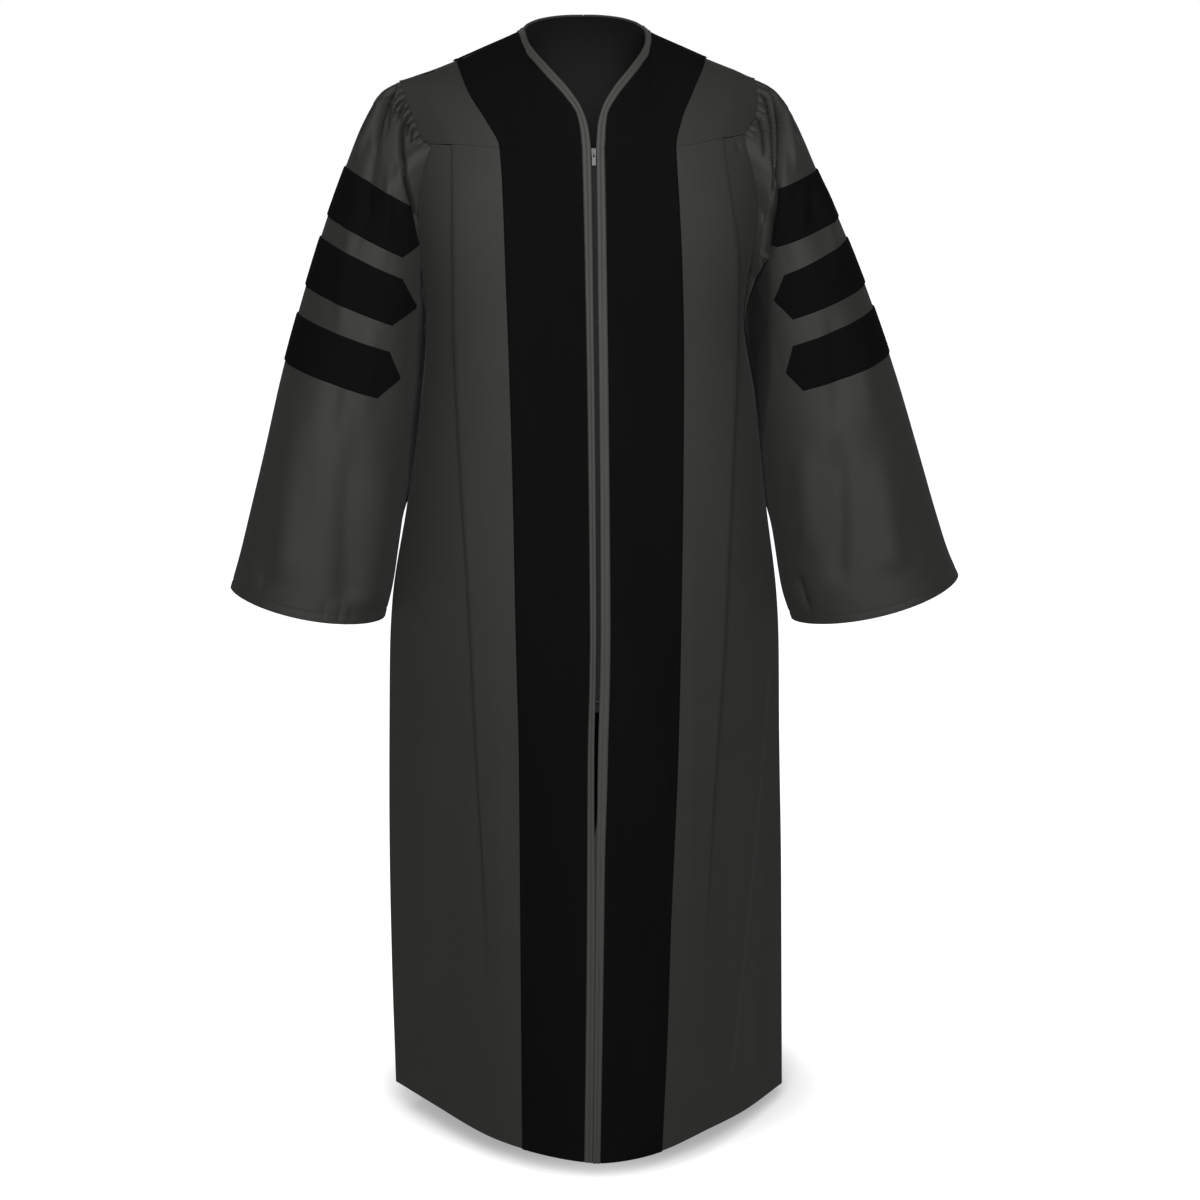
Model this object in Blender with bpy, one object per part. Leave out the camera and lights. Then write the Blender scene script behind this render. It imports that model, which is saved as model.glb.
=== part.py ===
"""Graduation gown in gathered charcoal cloth with velvet front panels, a zip and three bars on each sleeve.

The gown keeps the hollow form of a worn garment. Metres, +Z up, the front faces -Y, and +X is the wearer's
left. The origin is at the base of the neck, midway between the tops of the shoulders.
"""

import bmesh
import bpy
import numpy as np

# Thicknesses and clearances
CLOTH = 0.0012
VELVET = 0.0015
BAND = 0.0024
TAPE = 0.0010
GAP = 0.0003
LAYER_GAP = 0.0006

# Heights of the layers above the body form, each measured at the middle of its wall
PANEL_LIFT = 0.0040
YOKE_LIFT = 0.0040
VELVET_LIFT = PANEL_LIFT + CLOTH / 2 + LAYER_GAP + VELVET / 2
BAND_LIFT = PANEL_LIFT + CLOTH / 2 + LAYER_GAP + BAND / 2
TAPE_LIFT = PANEL_LIFT - CLOTH / 2 - GAP - TAPE / 2
CHAIN = 0.0020
CHAIN_LIFT = TAPE_LIFT + TAPE / 2 + GAP + CHAIN / 2

HEM_Z = -1.357
UNDERARM_Z = -0.335
BACK_SEAM_Z = -0.170
ZIP_TOP_Z = -0.128
ZIP_END_Z = -0.785
ARCH = 0.160

RIGHT, LEFT = -1, 1
SIDES = {"right": RIGHT, "left": LEFT}

# Sections of the body: half width, shift of the middle, place of the side seam, place of the front opening,
# depth, roundness and edge crease of the front and of the back.
BODY_COLUMNS = ("z", "half_width", "sway", "side_y", "opening_x", "front_depth", "front_power", "front_crease",
                "back_depth", "back_power", "back_crease")
BODY_SECTIONS = (
    (0.060, 0.2220, -0.012, 0.005, -0.0053, 0.108, 2.20, 0.45, 0.104, 2.4, 0.45),
    (-0.040, 0.2220, -0.012, 0.005, -0.0050, 0.109, 2.20, 0.45, 0.106, 2.4, 0.45),
    (-0.126, 0.2180, -0.005, 0.005, -0.0023, 0.115, 2.20, 0.45, 0.112, 2.4, 0.45),
    (-0.200, 0.2140, -0.003, 0.005, -0.0016, 0.122, 2.20, 0.47, 0.118, 2.4, 0.47),
    (-0.335, 0.1940, -0.003, 0.005, -0.0006, 0.130, 2.20, 0.50, 0.122, 2.4, 0.50),
    (-0.440, 0.2065, 0.001, 0.006, 0.0002, 0.138, 2.15, 0.55, 0.124, 2.3, 0.53),
    (-0.570, 0.2235, -0.001, 0.008, 0.0006, 0.149, 2.10, 0.65, 0.128, 2.2, 0.60),
    (-0.690, 0.2415, -0.003, 0.010, 0.0003, 0.160, 2.00, 0.78, 0.134, 2.1, 0.68),
    (-0.750, 0.2455, -0.003, 0.012, -0.0006, 0.166, 2.00, 0.85, 0.137, 2.1, 0.72),
    (-0.850, 0.2480, -0.003, 0.014, -0.0034, 0.176, 1.95, 0.95, 0.142, 2.0, 0.78),
    (-1.080, 0.2530, -0.001, 0.018, -0.0060, 0.201, 1.90, 1.05, 0.152, 2.0, 0.85),
    (-1.360, 0.2545, 0.003, 0.020, -0.0110, 0.235, 1.90, 1.10, 0.162, 2.0, 0.90),
)

# Height of the shoulder ridge at each distance from the middle of the neck
NECK_MIDDLE = -0.0046
RIDGE_COLUMNS = ("out", "z")
RIDGE = (
    (0.000, 0.0460), (0.030, 0.0410), (0.048, 0.0315), (0.062, 0.0165), (0.0690, 0.0050), (0.0765, -0.0005),
    (0.0845, -0.0042), (0.115, -0.0172), (0.154, -0.0337), (0.199, -0.0495), (0.221, -0.0536), (0.250, -0.0600),
)

# Edges drawn on the front: the armhole, the velvet's outer edge and the pleat, as distances from the middle
ARMHOLE_COLUMNS = ("z", "front_right", "front_left", "back_right", "back_left")
ARMHOLE = (
    (-0.046, 0.2265, 0.2020, 0.2265, 0.2020),
    (-0.072, 0.2190, 0.2025, 0.2200, 0.1995),
    (-0.095, 0.2092, 0.1975, 0.2125, 0.1960),
    (-0.110, 0.2035, 0.1850, 0.2080, 0.1935),
    (-0.121, 0.1985, 0.1832, 0.2060, 0.1925),
    (-0.126, 0.1893, 0.1834, 0.2050, 0.1922),
    (-0.158, 0.1982, 0.1920, 0.2030, 0.1935),
    (-0.205, 0.2058, 0.2012, 0.2040, 0.1970),
    (-0.270, 0.2030, 0.1985, 0.2020, 0.1960),
    (-0.335, 0.1970, 0.1910, 0.1970, 0.1910),
)
EDGE_COLUMNS = ("z", "velvet_right", "velvet_left", "pleat_right", "pleat_left")
EDGES = (
    (-0.027, 0.1590, 0.1415, 0.1655, 0.1540),
    (-0.067, 0.1440, 0.1178, 0.1655, 0.1540),
    (-0.100, 0.1238, 0.1018, 0.1655, 0.1540),
    (-0.128, 0.1100, 0.0949, 0.1655, 0.1552),
    (-0.190, 0.1068, 0.0981, 0.1644, 0.1612),
    (-0.270, 0.1044, 0.1018, 0.1631, 0.1692),
    (-0.370, 0.1013, 0.1038, 0.1619, 0.1685),
    (-0.500, 0.0985, 0.1032, 0.1580, 0.1640),
    (-0.720, 0.0958, 0.1002, 0.1480, 0.1550),
    (-0.860, 0.0932, 0.0969, 0.1428, 0.1467),
    (-1.060, 0.0930, 0.0875, 0.1350, 0.1376),
    (-1.200, 0.0931, 0.0820, 0.1310, 0.1315),
    (-1.360, 0.0932, 0.0735, 0.1285, 0.1257),
)

# The neckline, from the shoulder to the top of the zip: both edges of the edge band, from the opening's line
NECKLINE_COLUMNS = ("inner_z", "inner", "outer_z", "outer")
NECKLINE = (
    (0.0050, 0.0690, -0.0005, 0.0762),
    (-0.0070, 0.0665, -0.0115, 0.0733),
    (-0.0170, 0.0617, -0.0250, 0.0655),
    (-0.0345, 0.0480, -0.0450, 0.0505),
    (-0.0600, 0.0263, -0.0700, 0.0295),
    (-0.0820, 0.0122, -0.0900, 0.0173),
    (-0.1030, 0.0056, -0.1080, 0.0143),
    (-0.1260, 0.0032, -0.1260, 0.0130),
)
BAND_COLUMNS = ("z", "inner", "outer_right", "outer_left")
BAND_EDGES = (
    (-0.126, 0.0032, 0.0130, 0.0126),
    (-0.330, 0.0029, 0.0112, 0.0132),
    (-0.540, 0.0028, 0.0104, 0.0134),
    (-0.780, 0.0026, 0.0095, 0.0140),
    (-0.860, 0.0022, 0.0095, 0.0135),
    (-1.000, 0.0014, 0.0095, 0.0105),
    (-1.360, 0.0007, 0.0095, 0.0085),
)

# Yoke seam on each front, by distance from the middle
SEAM_COLUMNS = ("out", "right", "left")
YOKE_SEAM = (
    (0.000, -0.1265, -0.1265), (0.095, -0.1290, -0.1270), (0.155, -0.1258, -0.1192), (0.190, -0.1250, -0.1140),
)

VELVET_OUT, ARM_OUT = 0.100, 0.190

# Above this height the neckline is drawn from the middle of the neck, and below it from the front opening
NECK_SHIFT_Z = -0.050

# Neck edge at the back: its height at the nape, its shift to the left there and half the width of the neck
NAPE_Z = 0.0208
NAPE_SHIFT = 0.0030
NAPE_FALL = (1.18, 1.15)
NECK_HALF = 0.0690

# The long knife pleat beside each velvet panel: how far it turns over and how wide it laps under
PLEAT_BEND = 0.0010
PLEAT_COLUMNS = ("z", "turn_deg", "underlap")
PLEAT = (
    (-0.110, 180.0, 0.0140), (-0.500, 180.0, 0.0120), (-0.750, 175.0, 0.0070), (-0.860, 150.0, 0.0035),
    (-0.980, 80.0, 0.0015), (-1.110, 20.0, 0.0008), (-1.360, 4.0, 0.0004),
)

# Cartridge pleats across the middle of the back
FLUTES = 10
FLUTED_WIDTH = 0.62
FLUTE_COLUMNS = ("z", "depth")
FLUTE_DEPTH = ((-0.170, 0.0016), (-0.235, 0.0040), (-0.500, 0.0060), (-0.900, 0.0070), (-1.360, 0.0085))
FLUTE_HEIGHTS = (0.8, 1.1, 0.9, 1.2, 0.85, 1.15, 0.9, 1.05, 0.8, 1.1)

# Rows and columns of the walls: from the neck outwards the band, the velvet and the cloth beyond it
BAND_STEPS, VELVET_STEPS, OUTER_STEPS = 1, 3, 4
ARM_LEVELS = (-0.150, -0.180, -0.212, -0.245, -0.278, -0.308, UNDERARM_Z)
SKIRT_LEVELS = (-0.385, -0.440, -0.505, -0.570, -0.630, -0.690, -0.750, -0.860, -0.980, -1.100, -1.230, HEM_Z)
BACK_LEVELS = (-0.205, -0.245, -0.295, UNDERARM_Z, -0.440, -0.570, -0.690, -0.850, -1.020, -1.190, HEM_Z)
YOKE_STEPS = (0.0, 0.15, 0.30, 0.45, 0.60, 0.75, 0.92, 1.0)
SIDE_STEPS = 7
FLUTE_STEPS = 4
ARM_STEPS = 5
SEAM_STEPS = 5
ARM_LIFT = 0.0010
YOKE_FLAT = 0.55

# How far the hem rises above its level, from the middle to the side seams
HEM_COLUMNS = ("across", "right", "left")
HEM_RISE = ((0.0, 0.0010, 0.0010), (0.25, 0.0040, 0.0030), (0.50, 0.0055, 0.0065), (0.80, 0.0135, -0.0010),
            (1.0, 0.0160, -0.0040))

# The back of the neck: the edge band's width at the shoulder and its turn at the nape, and how low the velvet
# comes in the middle of the back
NECK_BAND = 0.0072
BAND_TURN = 0.060
VELVET_BACK_Z = -0.052

# Gathers of the sleeve head: number and size on the front and the back, their share of that size at the seam,
# where they reach it and fade out, and where the sleeve leaves the armhole's shape
GATHERS = {"right": (10, 0.0026), "left": (8, 0.0036)}
BACK_GATHERS = (5, 0.0030)
GATHER_SHAPE = (-0.7, 0.7)
GATHER_STEPS = len(GATHER_SHAPE)
GATHER_SIZES = (1.0, 0.7, 1.15, 0.8, 1.0, 1.25, 0.75, 1.1, 0.9, 1.2)
GATHER_SEAM, GATHER_START, GATHER_END = 0.35, 0.05, 0.50
HEAD_END = 0.45
SEAM_OUT = 0.0009
UNDERARM_OUT = 0.0018
ARM_HALVED = 3

# Velvet bars: where along the sleeve their top and bottom edges cross the outer fold, and where each pointed
# end has its top corner, tip and bottom corner, as a place along the sleeve and a turn from the fold in degrees.
# The sleeve's rows run along the edges of the bars, and past the tips they spread to the places at the underarm.
BARS = {
    "right": (
        (0.205, 0.284, 0.056, 86.0, 0.046, 106.0, 0.122, 98.0),
        (0.320, 0.404, 0.146, 106.0, 0.125, 128.0, 0.256, 109.0),
        (0.452, 0.536, 0.310, 111.0, 0.332, 128.0, 0.434, 112.0),
    ),
    "left": (
        (0.205, 0.285, 0.088, 76.0, 0.070, 98.0, 0.108, 93.0),
        (0.320, 0.400, 0.178, 98.0, 0.172, 114.0, 0.264, 104.0),
        (0.438, 0.518, 0.308, 109.0, 0.340, 121.0, 0.414, 112.0),
    ),
}
BAR_TIP = 0.03
BAR_ROWS_UNDER = ((0.040, 0.090), (0.160, 0.240), (0.360, 0.440))
HEAD_ROWS = (0.0, 0.25, 0.60)
HEM_ROWS = (0.27, 0.55, 0.80, 1.0)

# The zip: half width of the chain, how far the tapes run on below it, and the slider and pull
CHAIN_HALF_WIDTH = 0.0020
TAPE_END = 0.012
SLIDER_Z = -0.1325
PLATE = (0.0050, 0.0090, 0.0013)
PLATE_CORNER = 0.0004
CROWN_HALF_WIDTH = 0.0008
CROWN_SLOT, CROWN_LEG, CROWN_INSIDE, CROWN_OUTSIDE = 0.0018, 0.0033, 0.0021, 0.0031
CROWN_CORNER, CROWN_SUNK = 0.0009, 0.0005
PIVOT_DOWN = 0.0009
PIVOT_UP = 0.0012
TAB_WIDTH = 0.0044
TAB_LENGTH = 0.0150
TAB_THICKNESS = 0.0008
TAB_BAR = 0.0010
TAB_CORNER = 0.0002
WINDOW = (0.0024, 0.0048)
STOP = (0.0042, 0.0040, 0.0013)
STOP_CORNER = 0.0003

# Sleeve rings: the outer and inner edges seen from the front, the middle's place in Y and half the depth
SLEEVE_COLUMNS = ("along", "outer", "outer_z", "inner", "inner_z", "middle_y", "half_depth")
SLEEVES = {
    "right": (
        (0.00, 0.2275, -0.0530, 0.1986, -0.3350, 0.005, 0.060),
        (0.05, 0.2464, -0.0630, 0.2014, -0.3500, 0.006, 0.068),
        (0.12, 0.2698, -0.0985, 0.2042, -0.3720, 0.008, 0.076),
        (0.20, 0.2925, -0.1520, 0.2066, -0.3980, 0.010, 0.082),
        (0.30, 0.3193, -0.2230, 0.2098, -0.4310, 0.010, 0.086),
        (0.43, 0.3490, -0.3136, 0.2158, -0.4770, 0.010, 0.090),
        (0.56, 0.3760, -0.4050, 0.2230, -0.5250, 0.008, 0.094),
        (0.69, 0.3990, -0.4974, 0.2312, -0.5780, 0.006, 0.098),
        (0.80, 0.4185, -0.5720, 0.2384, -0.6250, 0.004, 0.101),
        (0.90, 0.4340, -0.6300, 0.2455, -0.6680, 0.002, 0.104),
        (1.00, 0.4460, -0.6690, 0.2560, -0.7090, 0.000, 0.106),
    ),
    "left": (
        (0.00, 0.2030, -0.0465, 0.1926, -0.3350, 0.005, 0.060),
        (0.05, 0.2273, -0.0600, 0.1960, -0.3500, 0.006, 0.068),
        (0.12, 0.2536, -0.0980, 0.2002, -0.3720, 0.008, 0.076),
        (0.20, 0.2790, -0.1540, 0.2040, -0.3980, 0.010, 0.082),
        (0.30, 0.3130, -0.2270, 0.2092, -0.4310, 0.010, 0.086),
        (0.43, 0.3510, -0.3190, 0.2166, -0.4810, 0.010, 0.090),
        (0.56, 0.3850, -0.4127, 0.2232, -0.5300, 0.008, 0.094),
        (0.69, 0.4152, -0.5077, 0.2300, -0.5850, 0.006, 0.098),
        (0.80, 0.4390, -0.5846, 0.2372, -0.6320, 0.004, 0.101),
        (0.90, 0.4560, -0.6350, 0.2458, -0.6820, 0.002, 0.104),
        (1.00, 0.4700, -0.6665, 0.2590, -0.7220, 0.000, 0.106),
    ),
}


def curve(at, table, columns, name):
    """Monotone cubic through one named column of a table, read at the values of its first column."""
    knots = np.array([row[0] for row in table], float)
    values = np.array([row[columns.index(name)] for row in table], float)
    if knots[0] > knots[-1]:
        knots, values = knots[::-1], values[::-1]
    step = np.diff(knots)
    slope = np.diff(values) / step
    before, after = slope[:-1], slope[1:]
    tangent = np.zeros_like(values)
    same = before * after > 0
    tangent[1:-1] = np.where(same, 2 * before * after / np.where(same, before + after, 1), 0)
    tangent[0], tangent[-1] = slope[0], slope[-1]
    at = np.clip(np.asarray(at, float), knots[0], knots[-1])
    i = np.clip(np.searchsorted(knots, at, side="right") - 1, 0, len(knots) - 2)
    h = step[i]
    u = (at - knots[i]) / h
    return (values[i] * (1 + 2 * u) * (1 - u) ** 2 + values[i + 1] * u * u * (3 - 2 * u)
            + h * tangent[i] * u * (1 - u) ** 2 - h * tangent[i + 1] * u * u * (1 - u))


def section(z, name):
    """One value of the body's sections at each height."""
    return curve(z, BODY_SECTIONS, BODY_COLUMNS, name)


def ridge(x):
    """Height of the shoulder ridge above each place across the body."""
    return curve(np.abs(x - NECK_MIDDLE), RIDGE, RIDGE_COLUMNS, "z")


def turn_of(x, z):
    """How far round the shoulder a point is: 0 on the ridge, 1 where the chest or back falls straight."""
    drop = np.maximum(ridge(x) - z, 0)
    bent = np.arccos(1 - np.minimum(drop / ARCH, 1)) * 2 / np.pi
    return bent + np.maximum(drop - ARCH, 0) / (ARCH * np.pi / 2)


def height_of(x, turn):
    """The height at a turn round the shoulder, the inverse of turn_of."""
    bent = ARCH * (1 - np.cos(np.minimum(turn, 1) * np.pi / 2))
    return ridge(x) - bent - np.maximum(turn - 1, 0) * ARCH * np.pi / 2


def flutes(across, z):
    """Cartridge pleats: a wave over the middle of the back, of uneven heights, fading towards the sides."""
    wave = (across / FLUTED_WIDTH + 1) * FLUTES / 2
    which = np.clip(wave.astype(int), 0, FLUTES - 1)
    fade = np.clip((1 - np.abs(across) / FLUTED_WIDTH) * FLUTES / 2, 0, 1)
    size = np.array(FLUTE_HEIGHTS)[which] * fade
    return curve(z, FLUTE_DEPTH, FLUTE_COLUMNS, "depth") * size * np.sin(2 * np.pi * wave)


def body_y(x, z, half, fluted=False):
    """The body form: a rounded section at each height, closing at the side seams and over the shoulders."""
    across = (x - section(z, "sway")) / section(z, "half_width")
    over = np.minimum(np.abs(across), 1)
    bulge = (1 - over ** section(z, half + "_power")) ** section(z, half + "_crease")
    shoulder = np.sin(np.minimum(turn_of(x, z), 1) * np.pi / 2)
    out = GAP + section(z, half + "_depth") * bulge * shoulder
    if fluted:
        out = out + flutes(across, z)
    return section(z, "side_y") + (out if half == "back" else -out)


def body_point(x, z, lift, half, fluted=False):
    """Points of the form moved out along its normal, which is level with X at the side seams."""
    step = 2e-4
    x, z, lift = np.broadcast_arrays(np.asarray(x, float), z, lift)
    y = body_y(x, z, half, fluted)
    slope_x = (body_y(x + step, z, half, fluted) - body_y(x - step, z, half, fluted)) / (2 * step)
    slope_z = (body_y(x, z + step, half, fluted) - body_y(x, z - step, half, fluted)) / (2 * step)
    facing = 1.0 if half == "back" else -1.0
    normal = facing * np.stack([-slope_x, np.ones_like(x), -slope_z], axis=-1)
    offset = x - section(z, "sway")
    seam = np.abs(offset) > 0.999 * section(z, "half_width")
    sideways = np.stack([np.sign(offset), np.zeros_like(x), np.zeros_like(x)], axis=-1)
    low = seam & (turn_of(x, z) > 0.5)
    normal = np.where(low[..., None], sideways, normal)
    normal = normal / np.linalg.norm(normal, axis=-1, keepdims=True)
    return np.stack([x, y, z], axis=-1) + normal * lift[..., None]


def make_material(name, colour, roughness, metallic=0.0):
    """A plain finish for one kind of cloth or metal."""
    material = bpy.data.materials.new(name)
    material.use_nodes = True
    shader = material.node_tree.nodes["Principled BSDF"]
    shader.inputs["Base Color"].default_value = (*colour, 1.0)
    shader.inputs["Roughness"].default_value = roughness
    shader.inputs["Metallic"].default_value = metallic
    material.diffuse_color = (*colour, 1.0)
    return material


def add_solid(name, outer, inner, material, ring=False):
    """A closed wall between two grids of points, with a rim along each free edge."""
    rows, columns = outer.shape[:2]
    count = rows * columns
    index = np.arange(count).reshape(rows, columns)
    if ring:
        index = np.hstack([index, index[:, :1]])
    a, b, c, d = index[:-1, :-1], index[1:, :-1], index[1:, 1:], index[:-1, 1:]
    faces = [(a, b, c), (a, c, d), (a + count, c + count, b + count), (a + count, d + count, c + count)]
    rims = [(a[0], d[0]), (c[-1], b[-1])]
    if not ring:
        rims += [(b[:, 0], a[:, 0]), (d[:, -1], c[:, -1])]
    for start, end in rims:
        faces += [(start, end, end + count), (start, end + count, start + count)]
    triangles = np.concatenate([np.stack([corner.ravel() for corner in face], axis=1) for face in faces])
    points = np.concatenate([outer.reshape(-1, 3), inner.reshape(-1, 3)])
    corners = points[triangles]
    volume = np.einsum("ij,ij->i", corners[:, 0], np.cross(corners[:, 1], corners[:, 2])).sum()
    if volume < 0:
        triangles = triangles[:, ::-1]
    mesh = bpy.data.meshes.new(name)
    mesh.from_pydata(points.tolist(), [], triangles.tolist())
    mesh.materials.append(material)
    mesh.shade_smooth()
    mesh.set_sharp_from_angle(angle=np.radians(50))
    made = bpy.data.objects.new(name, mesh)
    bpy.context.scene.collection.objects.link(made)
    return made


def add_panel(name, x, z, lift, half, thickness, material, fluted=False):
    """A wall of cloth on the body form."""
    outer = body_point(x, z, lift + thickness / 2, half, fluted)
    inner = body_point(x, z, lift - thickness / 2, half, fluted)
    return add_solid(name, outer, inner, material)


def between(first, last, steps):
    """Values spaced evenly from one array to another, as new columns."""
    share = np.linspace(0, 1, steps + 1)
    return np.asarray(first)[..., None] * (1 - share) + np.asarray(last)[..., None] * share


def armhole_x(z, side_name, half):
    """Distance of the armhole seam from the middle."""
    return curve(z, ARMHOLE, ARMHOLE_COLUMNS, half + "_" + side_name)


def body_edge(z, side_name, half):
    """Distance of a panel's outer edge from the middle: the armhole, and below it the side seam."""
    side = SIDES[side_name]
    seam = section(z, "half_width") + side * section(z, "sway")
    return np.where(z > UNDERARM_Z + 1e-6, armhole_x(z, side_name, half), seam)


def shoulder_end(side_name):
    """Top of the armhole, on the ridge."""
    x = armhole_x(0.0, side_name, "front")
    return x, ridge(SIDES[side_name] * x)


def velvet_top(side_name):
    """Distance of the velvet's outer edge from the middle on the shoulder."""
    return EDGES[0][EDGE_COLUMNS.index("velvet_" + side_name)]


def seam_height(out, side_name):
    """Height of the yoke seam at a distance from the middle."""
    return curve(out, YOKE_SEAM, SEAM_COLUMNS, side_name)


def yoke_share():
    """Place of each line of the yoke's walls, from 0 at the velvet's edge and within it to 1 at the armhole."""
    return np.concatenate([np.zeros(BAND_STEPS + VELVET_STEPS), np.linspace(0, 1, OUTER_STEPS + 1)])


def yoke_lift(share):
    """Lift of the yoke between the velvet's edge, 0, and the armhole, 1."""
    ease = np.clip((share - YOKE_FLAT) / (1 - YOKE_FLAT), 0, 1)
    return YOKE_LIFT - (YOKE_LIFT - ARM_LIFT) * ease * ease * (3 - 2 * ease)


def front_yoke_grid(side_name):
    """Places on the front yoke: rows from the shoulder to the yoke seam, columns from neck to armhole."""
    side = SIDES[side_name]
    neck = dict(zip(NECKLINE_COLUMNS, np.array(NECKLINE).T))
    inner_z, outer_z = neck["inner_z"], neck["outer_z"]
    inner = neck["inner"] + side * np.where(inner_z > NECK_SHIFT_Z, NECK_MIDDLE, section(inner_z, "opening_x"))
    outer = neck["outer"] + side * np.where(outer_z > NECK_SHIFT_Z, NECK_MIDDLE, section(outer_z, "opening_x"))
    steps = np.array(YOKE_STEPS)
    top_x, top_z = shoulder_end(side_name)
    velvet_ridge = ridge(side * velvet_top(side_name))
    velvet_z = velvet_ridge + (seam_height(VELVET_OUT, side_name) - velvet_ridge) * steps
    velvet = curve(velvet_z, EDGES, EDGE_COLUMNS, "velvet_" + side_name)
    corner_z = seam_height(ARM_OUT, side_name)
    arm_z = top_z + (corner_z - top_z) * steps
    arm = armhole_x(arm_z, side_name, "front")
    arm[0] = top_x
    lines = [(inner, inner_z), (outer, outer_z), (velvet, velvet_z), (arm, arm_z)]
    segments = (BAND_STEPS, VELVET_STEPS, OUTER_STEPS)
    x_parts, turn_parts = [], []
    for (x0, z0), (x1, z1), count in zip(lines[:-1], lines[1:], segments):
        keep = slice(0, count) if count != segments[-1] else slice(0, count + 1)
        x_parts.append(between(x0, x1, count)[:, keep])
        turn_parts.append(between(turn_of(side * x0, z0), turn_of(side * x1, z1), count)[:, keep])
    x = side * np.hstack(x_parts)
    z = height_of(x, np.hstack(turn_parts))
    z[0] = ridge(x[0])
    z[-1] = seam_height(side * x[-1], side_name) + GAP
    return x, z, np.broadcast_to(yoke_lift(yoke_share()), x.shape)


def pleat_path(z):
    """The knife pleat in section: distance past the fold's start, height and heading at each of its columns."""
    turn = np.radians(curve(z, PLEAT, PLEAT_COLUMNS, "turn_deg"))
    underlap = curve(z, PLEAT, PLEAT_COLUMNS, "underlap")
    arc = [turn / 3] * 3
    moves = [(PLEAT_BEND * step, -step) for step in arc] + [(underlap, 0 * turn)]
    moves += [(PLEAT_BEND * step, step) for step in arc]
    along, height, heading = [0 * turn], [0 * turn], [0 * turn]
    for length, bend in moves:
        chord = heading[-1] + bend / 2
        along.append(along[-1] + length * np.cos(chord))
        height.append(height[-1] + length * np.sin(chord))
        heading.append(heading[-1] + bend)
    return np.stack(along, -1), np.stack(height, -1), np.stack(heading, -1)


def front_panel_grid(side_name):
    """Places on the front panel: rows from the yoke seam to the hem, columns from the opening to the side."""
    side = SIDES[side_name]
    z = np.array([seam_height(VELVET_OUT, side_name), *ARM_LEVELS, *SKIRT_LEVELS])
    opening = side * section(z, "opening_x")
    inner = opening + curve(z, BAND_EDGES, BAND_COLUMNS, "inner")
    outer = opening + curve(z, BAND_EDGES, BAND_COLUMNS, "outer_" + side_name)
    velvet = curve(z, EDGES, EDGE_COLUMNS, "velvet_" + side_name)
    fold = curve(z, EDGES, EDGE_COLUMNS, "pleat_" + side_name) - PLEAT_BEND - CLOTH / 2
    along, height, heading = pleat_path(z)
    edge_z = z.copy()
    edge_z[0] = seam_height(ARM_OUT, side_name)
    edge = body_edge(edge_z, side_name, "front")
    half_width = section(z, "half_width")
    sway = side * section(z, "sway")
    start = fold + along[:, -1]
    near = np.arcsin(np.clip((start - sway) / half_width, -1, 1))
    far = np.arcsin(np.clip((edge - sway) / half_width, -1, 1))
    swept = np.sin(between(near, far, SIDE_STEPS)) * half_width[:, None] + sway[:, None]
    flat = np.hstack([between(inner, outer, 1)[:, :1], between(outer, velvet, 3)[:, :3],
                      between(velvet, fold, 2)[:, :2]])
    x = np.hstack([flat, fold[:, None] + along, swept[:, 1:]])
    drop = np.hstack([np.zeros_like(flat), height, height[:, -1:] * (1 - np.linspace(0, 1, SIDE_STEPS + 1)[1:])])
    angle = np.hstack([np.zeros_like(flat), heading, np.zeros_like(swept[:, 1:])])
    settle = np.zeros_like(drop)
    share = np.linspace(0, 1, SIDE_STEPS + 1)[1:]
    settle[:, -SIDE_STEPS:] = (ARM_LIFT - PANEL_LIFT) * share
    level_z = np.broadcast_to(z[:, None], x.shape).copy()
    level_z[0] = seam_height(x[0], side_name) - GAP
    level_z[-1] += curve(x[-1] / half_width[-1], HEM_RISE, HEM_COLUMNS, side_name)
    return side * x, level_z, PANEL_LIFT + drop + settle, angle


def add_front_panel(side_name, material):
    """One front: the strip beside the opening, the knife pleat and the side panel, as one wall."""
    x, z, lift, angle = front_panel_grid(side_name)
    side = SIDES[side_name]
    faces = []
    for half_wall in (CLOTH / 2, -CLOTH / 2):
        shifted = x - side * np.sin(angle) * half_wall
        faces.append(body_point(shifted, z, lift + np.cos(angle) * half_wall, "front"))
    return add_solid("front_" + side_name, faces[0], faces[1], material)


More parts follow.
